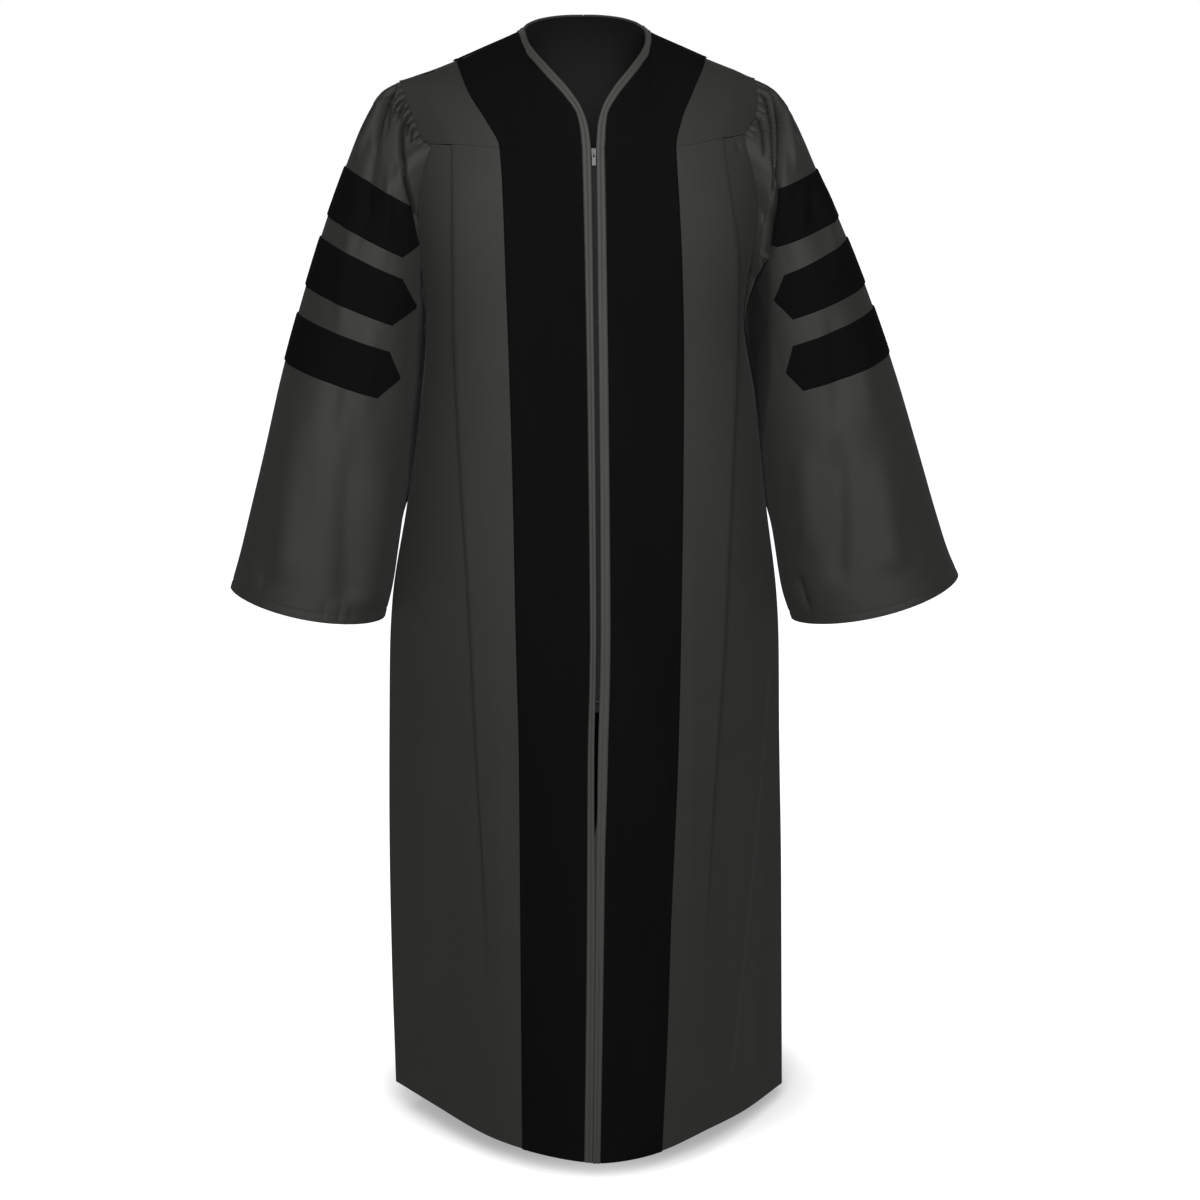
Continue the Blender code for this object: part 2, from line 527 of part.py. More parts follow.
def back_yoke_grid():
    """Places on the back yoke: rows from the neck outwards, columns from one shoulder round to the other."""
    angle = np.radians(np.linspace(-90, 90, 2 * (ARM_STEPS + SEAM_STEPS) + 1))
    nape_x = NECK_MIDDLE + NAPE_SHIFT * np.cos(angle)
    neck_x = nape_x + NECK_HALF * np.sin(angle)
    side_z = ridge(NECK_MIDDLE + NECK_HALF)
    fall = np.minimum(NAPE_FALL[0] * (1 - np.cos(angle)) ** NAPE_FALL[1], 1)
    neck_turn = turn_of(neck_x, NAPE_Z - (NAPE_Z - side_z) * fall)
    band_x = nape_x + (NECK_HALF + NECK_BAND) * np.sin(angle)
    velvet_half = np.where(angle < 0, velvet_top("right") + NECK_MIDDLE, velvet_top("left") - NECK_MIDDLE)
    velvet_x = nape_x + velvet_half * np.sin(angle)
    rim_x, rim_z = [], []
    for side_name in SIDES:
        top_x, top_z = shoulder_end(side_name)
        z = top_z + (BACK_SEAM_Z - top_z) * np.linspace(0, 1, ARM_STEPS + 1) ** 1.3
        x = armhole_x(z, side_name, "back")
        x[0] = top_x
        rim_x.append(SIDES[side_name] * x)
        rim_z.append(z)
    seam = np.linspace(rim_x[0][-1], rim_x[1][-1], 2 * SEAM_STEPS + 1)[1:-1]
    outer_x = np.concatenate([rim_x[0], seam, rim_x[1][::-1]])
    outer_z = np.concatenate([rim_z[0], np.full(len(seam), BACK_SEAM_Z), rim_z[1][::-1]])
    velvet_side = ridge(velvet_x)
    velvet_turn = turn_of(velvet_x, velvet_side + (VELVET_BACK_Z - velvet_side) * np.cos(angle))
    turns = [neck_turn, neck_turn + BAND_TURN * np.cos(angle), velvet_turn, turn_of(outer_x, outer_z)]
    places = [neck_x, band_x, velvet_x, outer_x]
    x_rows, turn_rows = [], []
    for first, count in ((0, 1), (1, 3), (2, 4)):
        keep = count + 1 if first == 2 else count
        x_rows.append(between(places[first], places[first + 1], count).T[:keep])
        turn_rows.append(between(turns[first], turns[first + 1], count).T[:keep])
    x = np.vstack(x_rows)
    turn = np.vstack(turn_rows)
    turn[:, [0, -1]] = 0
    z = height_of(x, turn)
    z[-1, ARM_STEPS:-ARM_STEPS] = BACK_SEAM_Z + GAP
    return x, z, np.broadcast_to(yoke_lift(yoke_share())[:, None], x.shape)


def back_panel_grid():
    """Places on the back panel: rows from the back yoke seam to the hem, columns from side to side."""
    z = np.array([BACK_SEAM_Z - GAP, *BACK_LEVELS])
    half_width = section(z, "half_width")
    sway = section(z, "sway")
    fluted = np.linspace(-1, 1, FLUTES * FLUTE_STEPS + 1) * FLUTED_WIDTH
    middle = half_width[:, None] * fluted + sway[:, None]
    parts = []
    for side_name, side in SIDES.items():
        edge = side * body_edge(z, side_name, "back")
        near = np.arcsin(side * FLUTED_WIDTH)
        far = np.arcsin(np.clip((edge - sway) / half_width, -1, 1))
        swept = np.sin(between(near, far, SIDE_STEPS)) * half_width[:, None] + sway[:, None]
        parts.append(swept[:, 1:])
    x = np.hstack([parts[0][:, ::-1], middle, parts[1]])
    level_z = np.broadcast_to(z[:, None], x.shape).copy()
    rises = [curve(np.abs(x[-1]) / half_width[-1], HEM_RISE, HEM_COLUMNS, name) for name in SIDES]
    level_z[-1] += np.where(x[-1] < 0, *rises)
    return x, level_z, np.full(x.shape, ARM_LIFT)


def resample(points, shares):
    """Points at shares of the length of a polyline."""
    steps = np.linalg.norm(np.diff(points, axis=0), axis=1)
    along = np.concatenate([[0], np.cumsum(steps)])
    along = along / along[-1]
    return np.stack([np.interp(shares, along, points[:, axis]) for axis in range(3)], axis=1)


def halve(points, count):
    """A polyline with a point added in the middle of each of its first few steps."""
    halves = (points[:count] + points[1:count + 1]) / 2
    start = np.stack([points[:count], halves], axis=1).reshape(-1, 3)
    return np.concatenate([start, points[count:]])


def armhole_loop(side_name):
    """The armhole from the shoulder down the front and up the back, as points and a turn for each in degrees."""
    side = SIDES[side_name]
    edges = []
    x, z, lift = front_yoke_grid(side_name)
    edges.append(body_point(x[:, -1], z[:, -1], lift[:, -1], "front"))
    x, z, lift, _ = front_panel_grid(side_name)
    arm_rows = len(ARM_LEVELS) + 1
    edges.append(body_point(x[:arm_rows, -1], z[:arm_rows, -1], lift[:arm_rows, -1], "front"))
    column = 0 if side == RIGHT else -1
    x, z, lift = back_panel_grid()
    back_rows = BACK_LEVELS.index(UNDERARM_Z) + 2
    edges.append(body_point(x[:back_rows, column], z[:back_rows, column], lift[:back_rows, column], "back")[::-1])
    x, z, lift = back_yoke_grid()
    rim = slice(0, ARM_STEPS + 1) if side == RIGHT else slice(-1, -ARM_STEPS - 2, -1)
    edges.append(body_point(x[-1, rim], z[-1, rim], lift[-1, rim], "back")[::-1])
    front_count = GATHERS[side_name][0] * GATHER_STEPS
    back_count = BACK_GATHERS[0] * GATHER_STEPS
    lower = [halve(edge, ARM_HALVED) for edge in (edges[1], edges[2][::-1])]
    loop = np.concatenate([resample(edges[0], np.arange(front_count) / front_count), lower[0][:-1],
                           lower[1][:0:-1], resample(edges[3], np.arange(back_count) / back_count)])
    top, bottom = loop[0, 2], UNDERARM_Z
    turn = np.degrees(np.arccos(np.clip(1 - 2 * (loop[:, 2] - top) / (bottom - top), -1, 1)))
    low = front_count + len(lower[0]) - 1
    turn[low:] = 360 - turn[low:]
    turn[0], turn[low] = 0, 180
    loop[:, 0] += side * (SEAM_OUT + (UNDERARM_OUT - SEAM_OUT) * np.sin(np.radians(turn / 2)))
    return loop, turn


def gather_waves(side_name, count):
    """Height of the gathers at each column of the sleeve head: down at the first of each gather, then up."""
    front, front_size = GATHERS[side_name]
    back, back_size = BACK_GATHERS
    shape = np.array(GATHER_SHAPE)
    waves = np.zeros(count)
    for first, number, size in ((0, front, front_size), (count - back * GATHER_STEPS, back, back_size)):
        for gather in range(number):
            place = first + gather * GATHER_STEPS
            waves[place:place + GATHER_STEPS] = shape * size * GATHER_SIZES[gather]
    return waves


def nearest(values, target):
    """The value nearest to a target."""
    return values[np.abs(values - target).argmin()]


def bar_edges(side_name, turn):
    """Places along the sleeve of the top and bottom edges of the bars at each column, and the columns covered."""
    signed = np.where(turn > 180, turn - 360, turn)
    edges, covered = [], []
    for bar, under in zip(BARS[side_name], BAR_ROWS_UNDER):
        top, bottom, end_top, end_top_deg, tip, tip_deg, end_bottom, end_bottom_deg = bar
        upper, lower = np.zeros(len(turn)), np.zeros(len(turn))
        inside = np.zeros(len(turn), bool)
        for facing in (1, -1):
            half = signed * facing >= 0
            angles = signed[half] * facing
            corners = [nearest(angles, angle) for angle in (end_top_deg, tip_deg, end_bottom_deg)]
            at_top, at_tip, at_bottom = 1 - np.cos(np.radians(corners))
            swing = 1 - np.cos(np.radians(angles))
            blunt = BAR_TIP * (end_bottom - end_top)
            upper[half] = np.interp(swing, [0, at_top, at_tip, 2], [top, end_top, tip - blunt, under[0]])
            lower[half] = np.interp(swing, [0, at_bottom, at_tip, 2], [bottom, end_bottom, tip + blunt, under[1]])
            inside[half] |= angles <= corners[1]
        edges += [upper, lower]
        order = np.argsort(signed)
        covered.append(order[inside[order]])
    return np.stack(edges), covered


def sleeve_rings(side_name, along, turn):
    """Rings of the plain sleeve: lens-shaped sections hung between its outer fold and its underarm."""
    side = SIDES[side_name]
    outer, outer_z, inner, inner_z, middle_y, half_depth = [
        curve(along, SLEEVES[side_name], SLEEVE_COLUMNS, name) for name in SLEEVE_COLUMNS[1:]]
    cos, sin = np.cos(np.radians(turn)), np.sin(np.radians(turn))
    depth = np.sign(sin) * np.abs(sin) ** (1.0 + 0.25 * along) * half_depth
    return np.stack([side * (outer + inner + cos * (outer - inner)) / 2, middle_y - depth,
                     (outer_z + inner_z + cos * (outer_z - inner_z)) / 2], axis=-1)


def sleeve_grid(side_name):
    """The sleeve's middle surface and normals: rows from the armhole to the hem, columns round from the fold."""
    loop, turn = armhole_loop(side_name)
    bars, covered = bar_edges(side_name, turn)
    head = np.array(HEAD_ROWS)[:, None] * bars[0]
    foot = bars[-1] + np.array(HEM_ROWS)[:, None] * (1 - bars[-1])
    along = np.concatenate([head, bars, foot])
    fade = np.clip(1 - along / HEAD_END, 0, 1) ** 2
    rings = sleeve_rings(side_name, along, turn)
    rings = rings + fade[..., None] * (loop - rings[0])
    rise = np.clip(along / GATHER_START, GATHER_SEAM, 1) * np.clip(1 - along / GATHER_END, 0, 1)
    waves = rise * gather_waves(side_name, len(turn))
    rings = rings + grid_normals(rings) * waves[..., None]
    return rings, grid_normals(rings), covered


def grid_normals(points):
    """Outward normals of a grid that closes round its columns."""
    down = np.gradient(points, axis=0)
    round_ = np.roll(points, -1, axis=1) - np.roll(points, 1, axis=1)
    normal = np.cross(round_, down)
    normal /= np.linalg.norm(normal, axis=-1, keepdims=True)
    outward = points - points.mean(axis=1, keepdims=True)
    if np.einsum("ijk,ijk->", normal, outward) < 0:
        normal = -normal
    return normal


def add_sleeve(side_name, material):
    """A bell sleeve, gathered into the armhole."""
    middle, normal, _ = sleeve_grid(side_name)
    outer = middle + normal * CLOTH / 2
    inner = middle - normal * CLOTH / 2
    return add_solid("sleeve_" + side_name, outer, inner, material, ring=True)


def add_bar(side_name, number, material):
    """A velvet bar with pointed ends, lying on the sleeve across its outer fold."""
    middle, normal, covered = sleeve_grid(side_name)
    top = len(HEAD_ROWS) + 2 * number
    cells = np.ix_((top, top + 1), covered[number])
    near = CLOTH / 2 + GAP
    outer = middle[cells] + normal[cells] * (near + VELVET)
    inner = middle[cells] + normal[cells] * near
    return add_solid("bar_%s_%d" % (side_name, number + 1), outer, inner, material)


def add_velvet_panel(name, x, z, half, material):
    """A velvet wall on a grid whose first column is the edge band's, kept just clear of the band."""
    faces = []
    for lift in (VELVET_LIFT + VELVET / 2, VELVET_LIFT - VELVET / 2):
        points = body_point(x, z, lift, half)
        step = points[:, 1] - points[:, 0]
        points[:, 0] += step * LAYER_GAP / np.linalg.norm(step, axis=-1, keepdims=True)
        faces.append(points)
    return add_solid(name, faces[0], faces[1], material)


def add_velvet(side_name, material):
    """The velvet of one front: the piece on the yoke and the long piece below the seam."""
    x, z, _ = front_yoke_grid(side_name)
    add_velvet_panel("velvet_upper_" + side_name, x[:, 1:5], z[:, 1:5], "front", material)
    x, z, _, _ = front_panel_grid(side_name)
    add_velvet_panel("velvet_lower_" + side_name, x[:, 1:5], z[:, 1:5], "front", material)


def add_back_velvet(material):
    """The velvet round the back of the neck, from one shoulder to the other."""
    x, z, _ = back_yoke_grid()
    add_velvet_panel("velvet_back", x[1:5].T, z[1:5].T, "back", material)


def add_edge_band(side_name, material):
    """The edge band of one side: up the front opening, round the neckline and to the middle of the back."""
    side = SIDES[side_name]
    faces = []
    panel_x, panel_z, _, _ = front_panel_grid(side_name)
    yoke_x, yoke_z, _ = front_yoke_grid(side_name)
    back_x, back_z, _ = back_yoke_grid()
    count = ARM_STEPS + SEAM_STEPS
    half = slice(0, count + 1) if side == RIGHT else slice(-1, -count - 2, -1)
    neck_x, neck_z = back_x[:2, half].T.copy(), back_z[:2, half].T
    neck_x[-1] += side * GAP / 2
    for lift in (BAND_LIFT + BAND / 2, BAND_LIFT - BAND / 2):
        rows = [body_point(panel_x[::-1, :2], panel_z[::-1, :2], lift, "front"),
                body_point(yoke_x[-2:0:-1, :2], yoke_z[-2:0:-1, :2], lift, "front"),
                body_point(neck_x, neck_z, lift, "back")]
        grid = np.concatenate(rows)
        joint = len(panel_x) + len(yoke_x) - 2
        front_end = body_point(yoke_x[0, :2], yoke_z[0, :2], lift + GAP, "front")
        back_end = body_point(neck_x[0], neck_z[0], lift + GAP, "back")
        grid[joint] = (back_end + front_end) / 2
        faces.append(grid if side == RIGHT else grid[:, ::-1])
    return add_solid("edge_band_" + side_name, faces[0], faces[1], material)


def add_zip_tape(side_name, material):
    """One tape of the zip, behind the front's edge."""
    levels = [level for level in ARM_LEVELS + SKIRT_LEVELS if level > ZIP_END_Z - TAPE_END]
    z = np.array([ZIP_TOP_Z, *levels, ZIP_END_Z - TAPE_END])
    width = curve(z, BAND_EDGES, BAND_COLUMNS, "outer_" + side_name)
    x = section(z, "opening_x")[:, None] + SIDES[side_name] * np.stack([np.full(len(z), GAP), width], axis=1)
    add_panel("zip_tape_" + side_name, x, z[:, None], TAPE_LIFT, "front", TAPE, material)


def add_zip_chain(material):
    """The closed chain of the zip, between the edges of the fronts."""
    levels = [level for level in ARM_LEVELS + SKIRT_LEVELS if level > ZIP_END_Z]
    z = np.array([ZIP_TOP_Z, *levels, ZIP_END_Z])[:, None]
    x = section(z, "opening_x") + CHAIN_HALF_WIDTH * np.array([[-1, 1]])
    add_panel("zip_chain", x, z, CHAIN_LIFT, "front", CHAIN, material)


def zip_frame(z, lift):
    """A place on the zip and its directions: across, up along the zip, and outwards."""
    x = section(z, "opening_x")
    place = body_point(x, z, lift, "front")
    up = body_point(x, z + 0.002, lift, "front") - body_point(x, z - 0.002, lift, "front")
    up[0] = 0
    up /= np.linalg.norm(up)
    across = np.array([1.0, 0.0, 0.0])
    return place, across, up, np.cross(across, up)


def prism(name, outline, half_width, place, axes, material):
    """A closed solid: an outline of up and out values, as wide as given across the zip."""
    across, up, out = axes
    points = []
    for side in (-half_width, half_width):
        for height, lift in outline:
            points.append(place + across * side + up * height + out * lift)
    count = len(outline)
    faces = [tuple(range(count)), tuple(range(2 * count - 1, count - 1, -1))]
    faces += [(i + count, (i + 1) % count + count, (i + 1) % count, i) for i in range(count)]
    mesh = bpy.data.meshes.new(name)
    mesh.from_pydata([tuple(point) for point in points], [], faces)
    mesh.materials.append(material)
    shape = bmesh.new()
    shape.from_mesh(mesh)
    bmesh.ops.recalc_face_normals(shape, faces=shape.faces)
    shape.to_mesh(mesh)
    shape.free()
    made = bpy.data.objects.new(name, mesh)
    bpy.context.scene.collection.objects.link(made)
    return made


def combine(target, tool, operation):
    """Join or cut one solid with another, which stays as a hidden tool."""
    modifier = target.modifiers.new(tool.name, "BOOLEAN")
    modifier.operation = operation
    modifier.object = tool
    modifier.solver = "EXACT"
    tool.hide_render = True
    tool.display_type = "WIRE"


def box_outline(bottom, top, low, high, corner=0.0):
    """A rectangle of up and out values, its two outer corners cut."""
    if corner == 0:
        return [(bottom, low), (top, low), (top, high), (bottom, high)]
    return [(bottom, low), (top, low), (top, high - corner), (top - corner, high), (bottom + corner, high),
            (bottom, high - corner)]


def add_slider(material):
    """The slider: a plate that rides on the chain and a raised crown with a slot under it."""
    width, length, thick = PLATE
    place, across, up, out = zip_frame(SLIDER_Z, CHAIN_LIFT + CHAIN / 2 + GAP)
    axes = (across, up, out)
    outline = box_outline(-length / 2, length / 2, 0.0, thick, PLATE_CORNER)
    slider = prism("zip_slider", outline, width / 2, place, axes, material)
    slot, leg, inside, outside, sunk = CROWN_SLOT, CROWN_LEG, CROWN_INSIDE, CROWN_OUTSIDE, CROWN_SUNK
    top = leg - CROWN_CORNER
    crown = [(-leg, -sunk), (-leg, inside), (-top, outside), (top, outside), (leg, inside),
             (leg, -sunk), (slot, -sunk), (slot, inside), (-slot, inside), (-slot, -sunk)]
    base = place + out * thick
    combine(slider, prism("crown", crown, CROWN_HALF_WIDTH, base, axes, material), "UNION")
    return slider


def add_pull_tab(material):
    """The pull: a flat tab whose top bar passes under the slider's crown, about which it swings."""
    place, across, up, out = zip_frame(SLIDER_Z, CHAIN_LIFT + CHAIN / 2 + GAP)
    pivot = place + out * (PLATE[2] + PIVOT_UP) - up * PIVOT_DOWN
    axes = (across, up, out)
    half = TAB_THICKNESS / 2
    axle = bpy.data.objects.new("pull_axle", None)
    axle.location = pivot
    bpy.context.scene.collection.objects.link(axle)
    outline = box_outline(-TAB_LENGTH, TAB_BAR / 2, -half, half, TAB_CORNER)
    tab = prism("pull_tab", outline, TAB_WIDTH / 2, np.zeros(3), axes, material)
    tab.parent = axle
    window = box_outline(-TAB_BAR / 2 - WINDOW[1], -TAB_BAR / 2, -TAB_WIDTH / 2, TAB_WIDTH / 2)
    cutter = prism("tab_window", window, WINDOW[0] / 2, np.zeros(3), axes, material)
    cutter.parent = axle
    combine(tab, cutter, "DIFFERENCE")
    return tab


def add_bottom_stop(material):
    """The stop across the end of the chain."""
    width, length, thick = STOP
    place, across, up, out = zip_frame(ZIP_END_Z + length / 2, CHAIN_LIFT + CHAIN / 2 + GAP)
    outline = box_outline(-length / 2, length / 2, 0.0, thick, STOP_CORNER)
    return prism("zip_stop", outline, width / 2, place, (across, up, out), material)


def remove_all():
    """Start from an empty scene."""
    for found in list(bpy.data.objects):
        bpy.data.objects.remove(found, do_unlink=True)


remove_all()
charcoal = make_material("charcoal_cloth", (0.046, 0.045, 0.042), 0.85)
velvet_black = make_material("black_velvet", (0.006, 0.006, 0.006), 0.95)
band_cloth = make_material("edge_band", (0.075, 0.074, 0.069), 0.75)
tape_cloth = make_material("zip_tape", (0.012, 0.012, 0.012), 0.80)
zip_metal = make_material("zip_metal", (0.10, 0.10, 0.10), 0.35, 1.0)

for side_name in SIDES:
    x, z, lift = front_yoke_grid(side_name)
    add_panel("yoke_" + side_name, x, z, lift, "front", CLOTH, charcoal)
    add_front_panel(side_name, charcoal)
    add_sleeve(side_name, charcoal)
    add_velvet(side_name, velvet_black)
    add_edge_band(side_name, band_cloth)
    add_zip_tape(side_name, tape_cloth)
    for number in range(len(BARS[side_name])):
        add_bar(side_name, number, velvet_black)
x, z, lift = back_yoke_grid()
add_panel("yoke_back", x, z, lift, "back", CLOTH, charcoal)
x, z, lift = back_panel_grid()
add_panel("back", x, z, lift, "back", CLOTH, charcoal, fluted=True)
add_back_velvet(velvet_black)
add_zip_chain(tape_cloth)
add_slider(zip_metal)
add_pull_tab(zip_metal)
add_bottom_stop(zip_metal)
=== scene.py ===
"""Graduation gown in gathered charcoal cloth with velvet panels, a front zip and three bars on each sleeve.

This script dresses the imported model. Metres, +Z up, the front faces -Y, and +X is the wearer's left.
"""

import bpy
import numpy as np
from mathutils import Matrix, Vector


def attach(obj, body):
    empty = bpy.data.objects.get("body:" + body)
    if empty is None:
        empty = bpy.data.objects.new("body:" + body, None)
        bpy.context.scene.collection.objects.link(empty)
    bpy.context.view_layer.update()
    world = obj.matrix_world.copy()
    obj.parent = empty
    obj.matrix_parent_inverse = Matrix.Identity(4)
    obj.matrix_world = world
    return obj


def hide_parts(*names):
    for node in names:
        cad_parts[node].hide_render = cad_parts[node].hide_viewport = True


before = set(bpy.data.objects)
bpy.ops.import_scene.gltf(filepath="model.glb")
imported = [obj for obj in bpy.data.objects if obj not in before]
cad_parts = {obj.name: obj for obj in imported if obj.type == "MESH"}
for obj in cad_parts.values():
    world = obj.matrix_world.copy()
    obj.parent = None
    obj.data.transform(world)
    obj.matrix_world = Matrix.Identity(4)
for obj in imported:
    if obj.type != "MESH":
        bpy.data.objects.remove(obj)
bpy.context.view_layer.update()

# Camera
# It stands 3.2 m from the gown, a little to the wearer's right and above it, as the photograph is taken.
CAMERA_AT = Vector((-0.2307, -3.1145, -0.0011))
CAMERA_TO = Vector((0.01445, 0.0, -0.6937))
LENS_MM = 76.19
camera = bpy.data.objects.new("camera", bpy.data.cameras.new("camera"))
camera.data.lens = LENS_MM
camera.data.clip_end = 60
camera.location = CAMERA_AT
camera.rotation_euler = (CAMERA_TO - CAMERA_AT).to_track_quat("-Z", "Y").to_euler()
bpy.context.scene.collection.objects.link(camera)
bpy.context.scene.camera = camera

# Floor and light
# A plain pale floor just under the hem with a painted shadow round it, a wide soft box in front, one overhead and
# a pale surround.
FLOOR_Z = -1.385
FLOOR_SIZE = 40.0
FLOOR_COLOUR = (0.93, 0.93, 0.93, 1)
# The floor's glow for the camera runs from the first value, a painted shadow round the hem, to white beyond the
# shadow's reach
FLOOR_GLOW_AND_PAINTED_SHADOW = (0.37, 1.00)
SHADOW_MIDDLE, SHADOW_DEPTH = (0.02, 0.06), 1.25
SHADOW_REACH = (0.22, 0.42)
FLOOR_BOUNCE = 0.30
SURROUND = 0.08
LIGHTS_COLUMNS = ("name", "place", "aim", "size", "power_w")
LIGHTS = (
    ("front_box", (-0.12, -2.2, 0.42), (0, 0, -0.30), 1.0, 37),
    ("floor_box", (-0.40, -0.9, 2.2), (0, -0.2, -1.3), 2.4, 58),
)


def link_nodes(tree, *pairs):
    """Join pairs of sockets."""
    for start, end in pairs:
        tree.links.new(start, end)


def math_node(tree, operation, *values):
    """A maths node whose inputs are sockets or numbers."""
    node = tree.nodes.new("ShaderNodeMath")
    node.operation = operation
    for slot, value in enumerate(values):
        if isinstance(value, (int, float)):
            node.inputs[slot].default_value = value
        else:
            tree.links.new(value, node.inputs[slot])
    return node.outputs[0]


def camera_sees(tree):
    """One where the camera itself looks and zero for the light that falls on the gown."""
    return tree.nodes.new("ShaderNodeLightPath").outputs["Is Camera Ray"]


def add_floor():
    """A flat floor, which isn't part of the gown. It takes the gown's real shadow from the overhead box, and for the
    camera it glows: dimmer round the hem, as a painted shadow, and pure white farther out, like the paper behind it.
    It throws little light back, so the gown stays dark below."""
    half = FLOOR_SIZE / 2
    mesh = bpy.data.meshes.new("floor")
    corners = [(-half, -half, FLOOR_Z), (half, -half, FLOOR_Z), (half, half, FLOOR_Z), (-half, half, FLOOR_Z)]
    mesh.from_pydata(corners, [], [(0, 1, 2, 3)])
    material = bpy.data.materials.new("pale_floor")
    material.use_nodes = True
    tree = material.node_tree
    shader = tree.nodes["Principled BSDF"]
    shader.inputs["Base Color"].default_value = FLOOR_COLOUR
    shader.inputs["Roughness"].default_value = 0.9
    shader.inputs["Specular IOR Level"].default_value = 0.1
    shader.inputs["Emission Color"].default_value = (1, 1, 1, 1)
    place = tree.nodes.new("ShaderNodeTexCoord")
    level = tree.nodes.new("ShaderNodeVectorMath")
    level.operation = "MULTIPLY_ADD"
    level.inputs[1].default_value = (1, SHADOW_DEPTH, 0)
    level.inputs[2].default_value = (-SHADOW_MIDDLE[0], -SHADOW_MIDDLE[1] * SHADOW_DEPTH, 0)
    away = tree.nodes.new("ShaderNodeVectorMath")
    away.operation = "LENGTH"
    glow_and_painted_shadow = tree.nodes.new("ShaderNodeMapRange")
    glow_and_painted_shadow.interpolation_type = "SMOOTHSTEP"
    for socket, value in zip(("From Min", "From Max", "To Min", "To Max"), SHADOW_REACH + FLOOR_GLOW_AND_PAINTED_SHADOW):
        glow_and_painted_shadow.inputs[socket].default_value = value
    bounce = tree.nodes.new("ShaderNodeBsdfDiffuse")
    bounce.inputs["Color"].default_value = (FLOOR_BOUNCE,) * 3 + (1,)
    pick = tree.nodes.new("ShaderNodeMixShader")
    link_nodes(tree, (place.outputs["Object"], level.inputs[0]), (level.outputs[0], away.inputs[0]),
               (away.outputs["Value"], glow_and_painted_shadow.inputs["Value"]), (glow_and_painted_shadow.outputs["Result"], shader.inputs["Emission Strength"]), (camera_sees(tree), pick.inputs["Fac"]),
               (bounce.outputs["BSDF"], pick.inputs[1]), (shader.outputs["BSDF"], pick.inputs[2]),
               (pick.outputs["Shader"], tree.nodes["Material Output"].inputs["Surface"]))
    mesh.materials.append(material)
    floor = bpy.data.objects.new("floor", mesh)
    bpy.context.scene.collection.objects.link(floor)
    return floor


def add_light(name, place, aim, size, power_w):
    """A square soft box that faces a point."""
    lamp = bpy.data.lights.new(name, "AREA")
    lamp.size = size
    lamp.energy = power_w
    light = bpy.data.objects.new(name, lamp)
    light.location = place
    light.visible_camera = False
    light.rotation_euler = (Vector(aim) - Vector(place)).to_track_quat("-Z", "Y").to_euler()
    bpy.context.scene.collection.objects.link(light)
    return light


floor = add_floor()
lamps = {light[0]: add_light(**dict(zip(LIGHTS_COLUMNS, light))) for light in LIGHTS}
lit_floor = bpy.data.collections.new("lit_floor")
lit_floor.objects.link(floor)
lamps["floor_box"].light_linking.receiver_collection = lit_floor
surround = bpy.data.worlds.new("pale_surround")
surround.use_nodes = True
paper = surround.node_tree.nodes["Background"]
paper.inputs["Color"].default_value = (1, 1, 1, 1)
unseen = math_node(surround.node_tree, "MULTIPLY", camera_sees(surround.node_tree), 1 - SURROUND)
link_nodes(surround.node_tree, (math_node(surround.node_tree, "ADD", unseen, SURROUND), paper.inputs["Strength"]))
bpy.context.scene.world = surround
bpy.context.scene.view_settings.view_transform = "Standard"

# Front panels
# Each front is one piece of charcoal cloth, from the opening to the side seam and from the yoke seam to the hem.
# One long knife pleat stands beside the velvet, pressed at the yoke and falling open towards the hem.
CLOTH = 0.0012
GAP = 0.0003
PANEL_LIFT = 0.0040
ARM_LIFT = 0.0010
HEM_Z = -1.357
UNDERARM_Z = -0.335
ARCH = 0.160
RIGHT, LEFT = -1, 1
SIDES = {"right": RIGHT, "left": LEFT}
BODY_COLUMNS = ("z", "half_width", "sway", "side_y", "opening_x", "front_depth", "front_power", "front_crease",
                "back_depth", "back_power", "back_crease")
BODY_SECTIONS = (
    (0.060, 0.2220, -0.012, 0.005, -0.0053, 0.108, 2.20, 0.45, 0.104, 2.4, 0.45),
    (-0.040, 0.2220, -0.012, 0.005, -0.0050, 0.109, 2.20, 0.45, 0.106, 2.4, 0.45),
    (-0.126, 0.2180, -0.005, 0.005, -0.0023, 0.115, 2.20, 0.45, 0.112, 2.4, 0.45),
    (-0.200, 0.2140, -0.003, 0.005, -0.0016, 0.122, 2.20, 0.47, 0.118, 2.4, 0.47),
    (-0.335, 0.1940, -0.003, 0.005, -0.0006, 0.130, 2.20, 0.50, 0.122, 2.4, 0.50),
    (-0.440, 0.2065, 0.001, 0.006, 0.0002, 0.138, 2.15, 0.55, 0.124, 2.3, 0.53),
    (-0.570, 0.2235, -0.001, 0.008, 0.0006, 0.149, 2.10, 0.65, 0.128, 2.2, 0.60),
    (-0.690, 0.2415, -0.003, 0.010, 0.0003, 0.160, 2.00, 0.78, 0.134, 2.1, 0.68),
    (-0.750, 0.2455, -0.003, 0.012, -0.0006, 0.166, 2.00, 0.85, 0.137, 2.1, 0.72),
    (-0.850, 0.2480, -0.003, 0.014, -0.0034, 0.176, 1.95, 0.95, 0.142, 2.0, 0.78),
    (-1.080, 0.2530, -0.001, 0.018, -0.0060, 0.201, 1.90, 1.05, 0.152, 2.0, 0.85),
    (-1.360, 0.2545, 0.003, 0.020, -0.0110, 0.235, 1.90, 1.10, 0.162, 2.0, 0.90),
)
NECK_MIDDLE = -0.0046
RIDGE_COLUMNS = ("out", "z")
RIDGE = (
    (0.000, 0.0460), (0.030, 0.0410), (0.048, 0.0315), (0.062, 0.0165), (0.0690, 0.0050), (0.0765, -0.0005),
    (0.0845, -0.0042), (0.115, -0.0172), (0.154, -0.0337), (0.199, -0.0495), (0.221, -0.0536), (0.250, -0.0600),
)
ARMHOLE_COLUMNS = ("z", "front_right", "front_left", "back_right", "back_left")
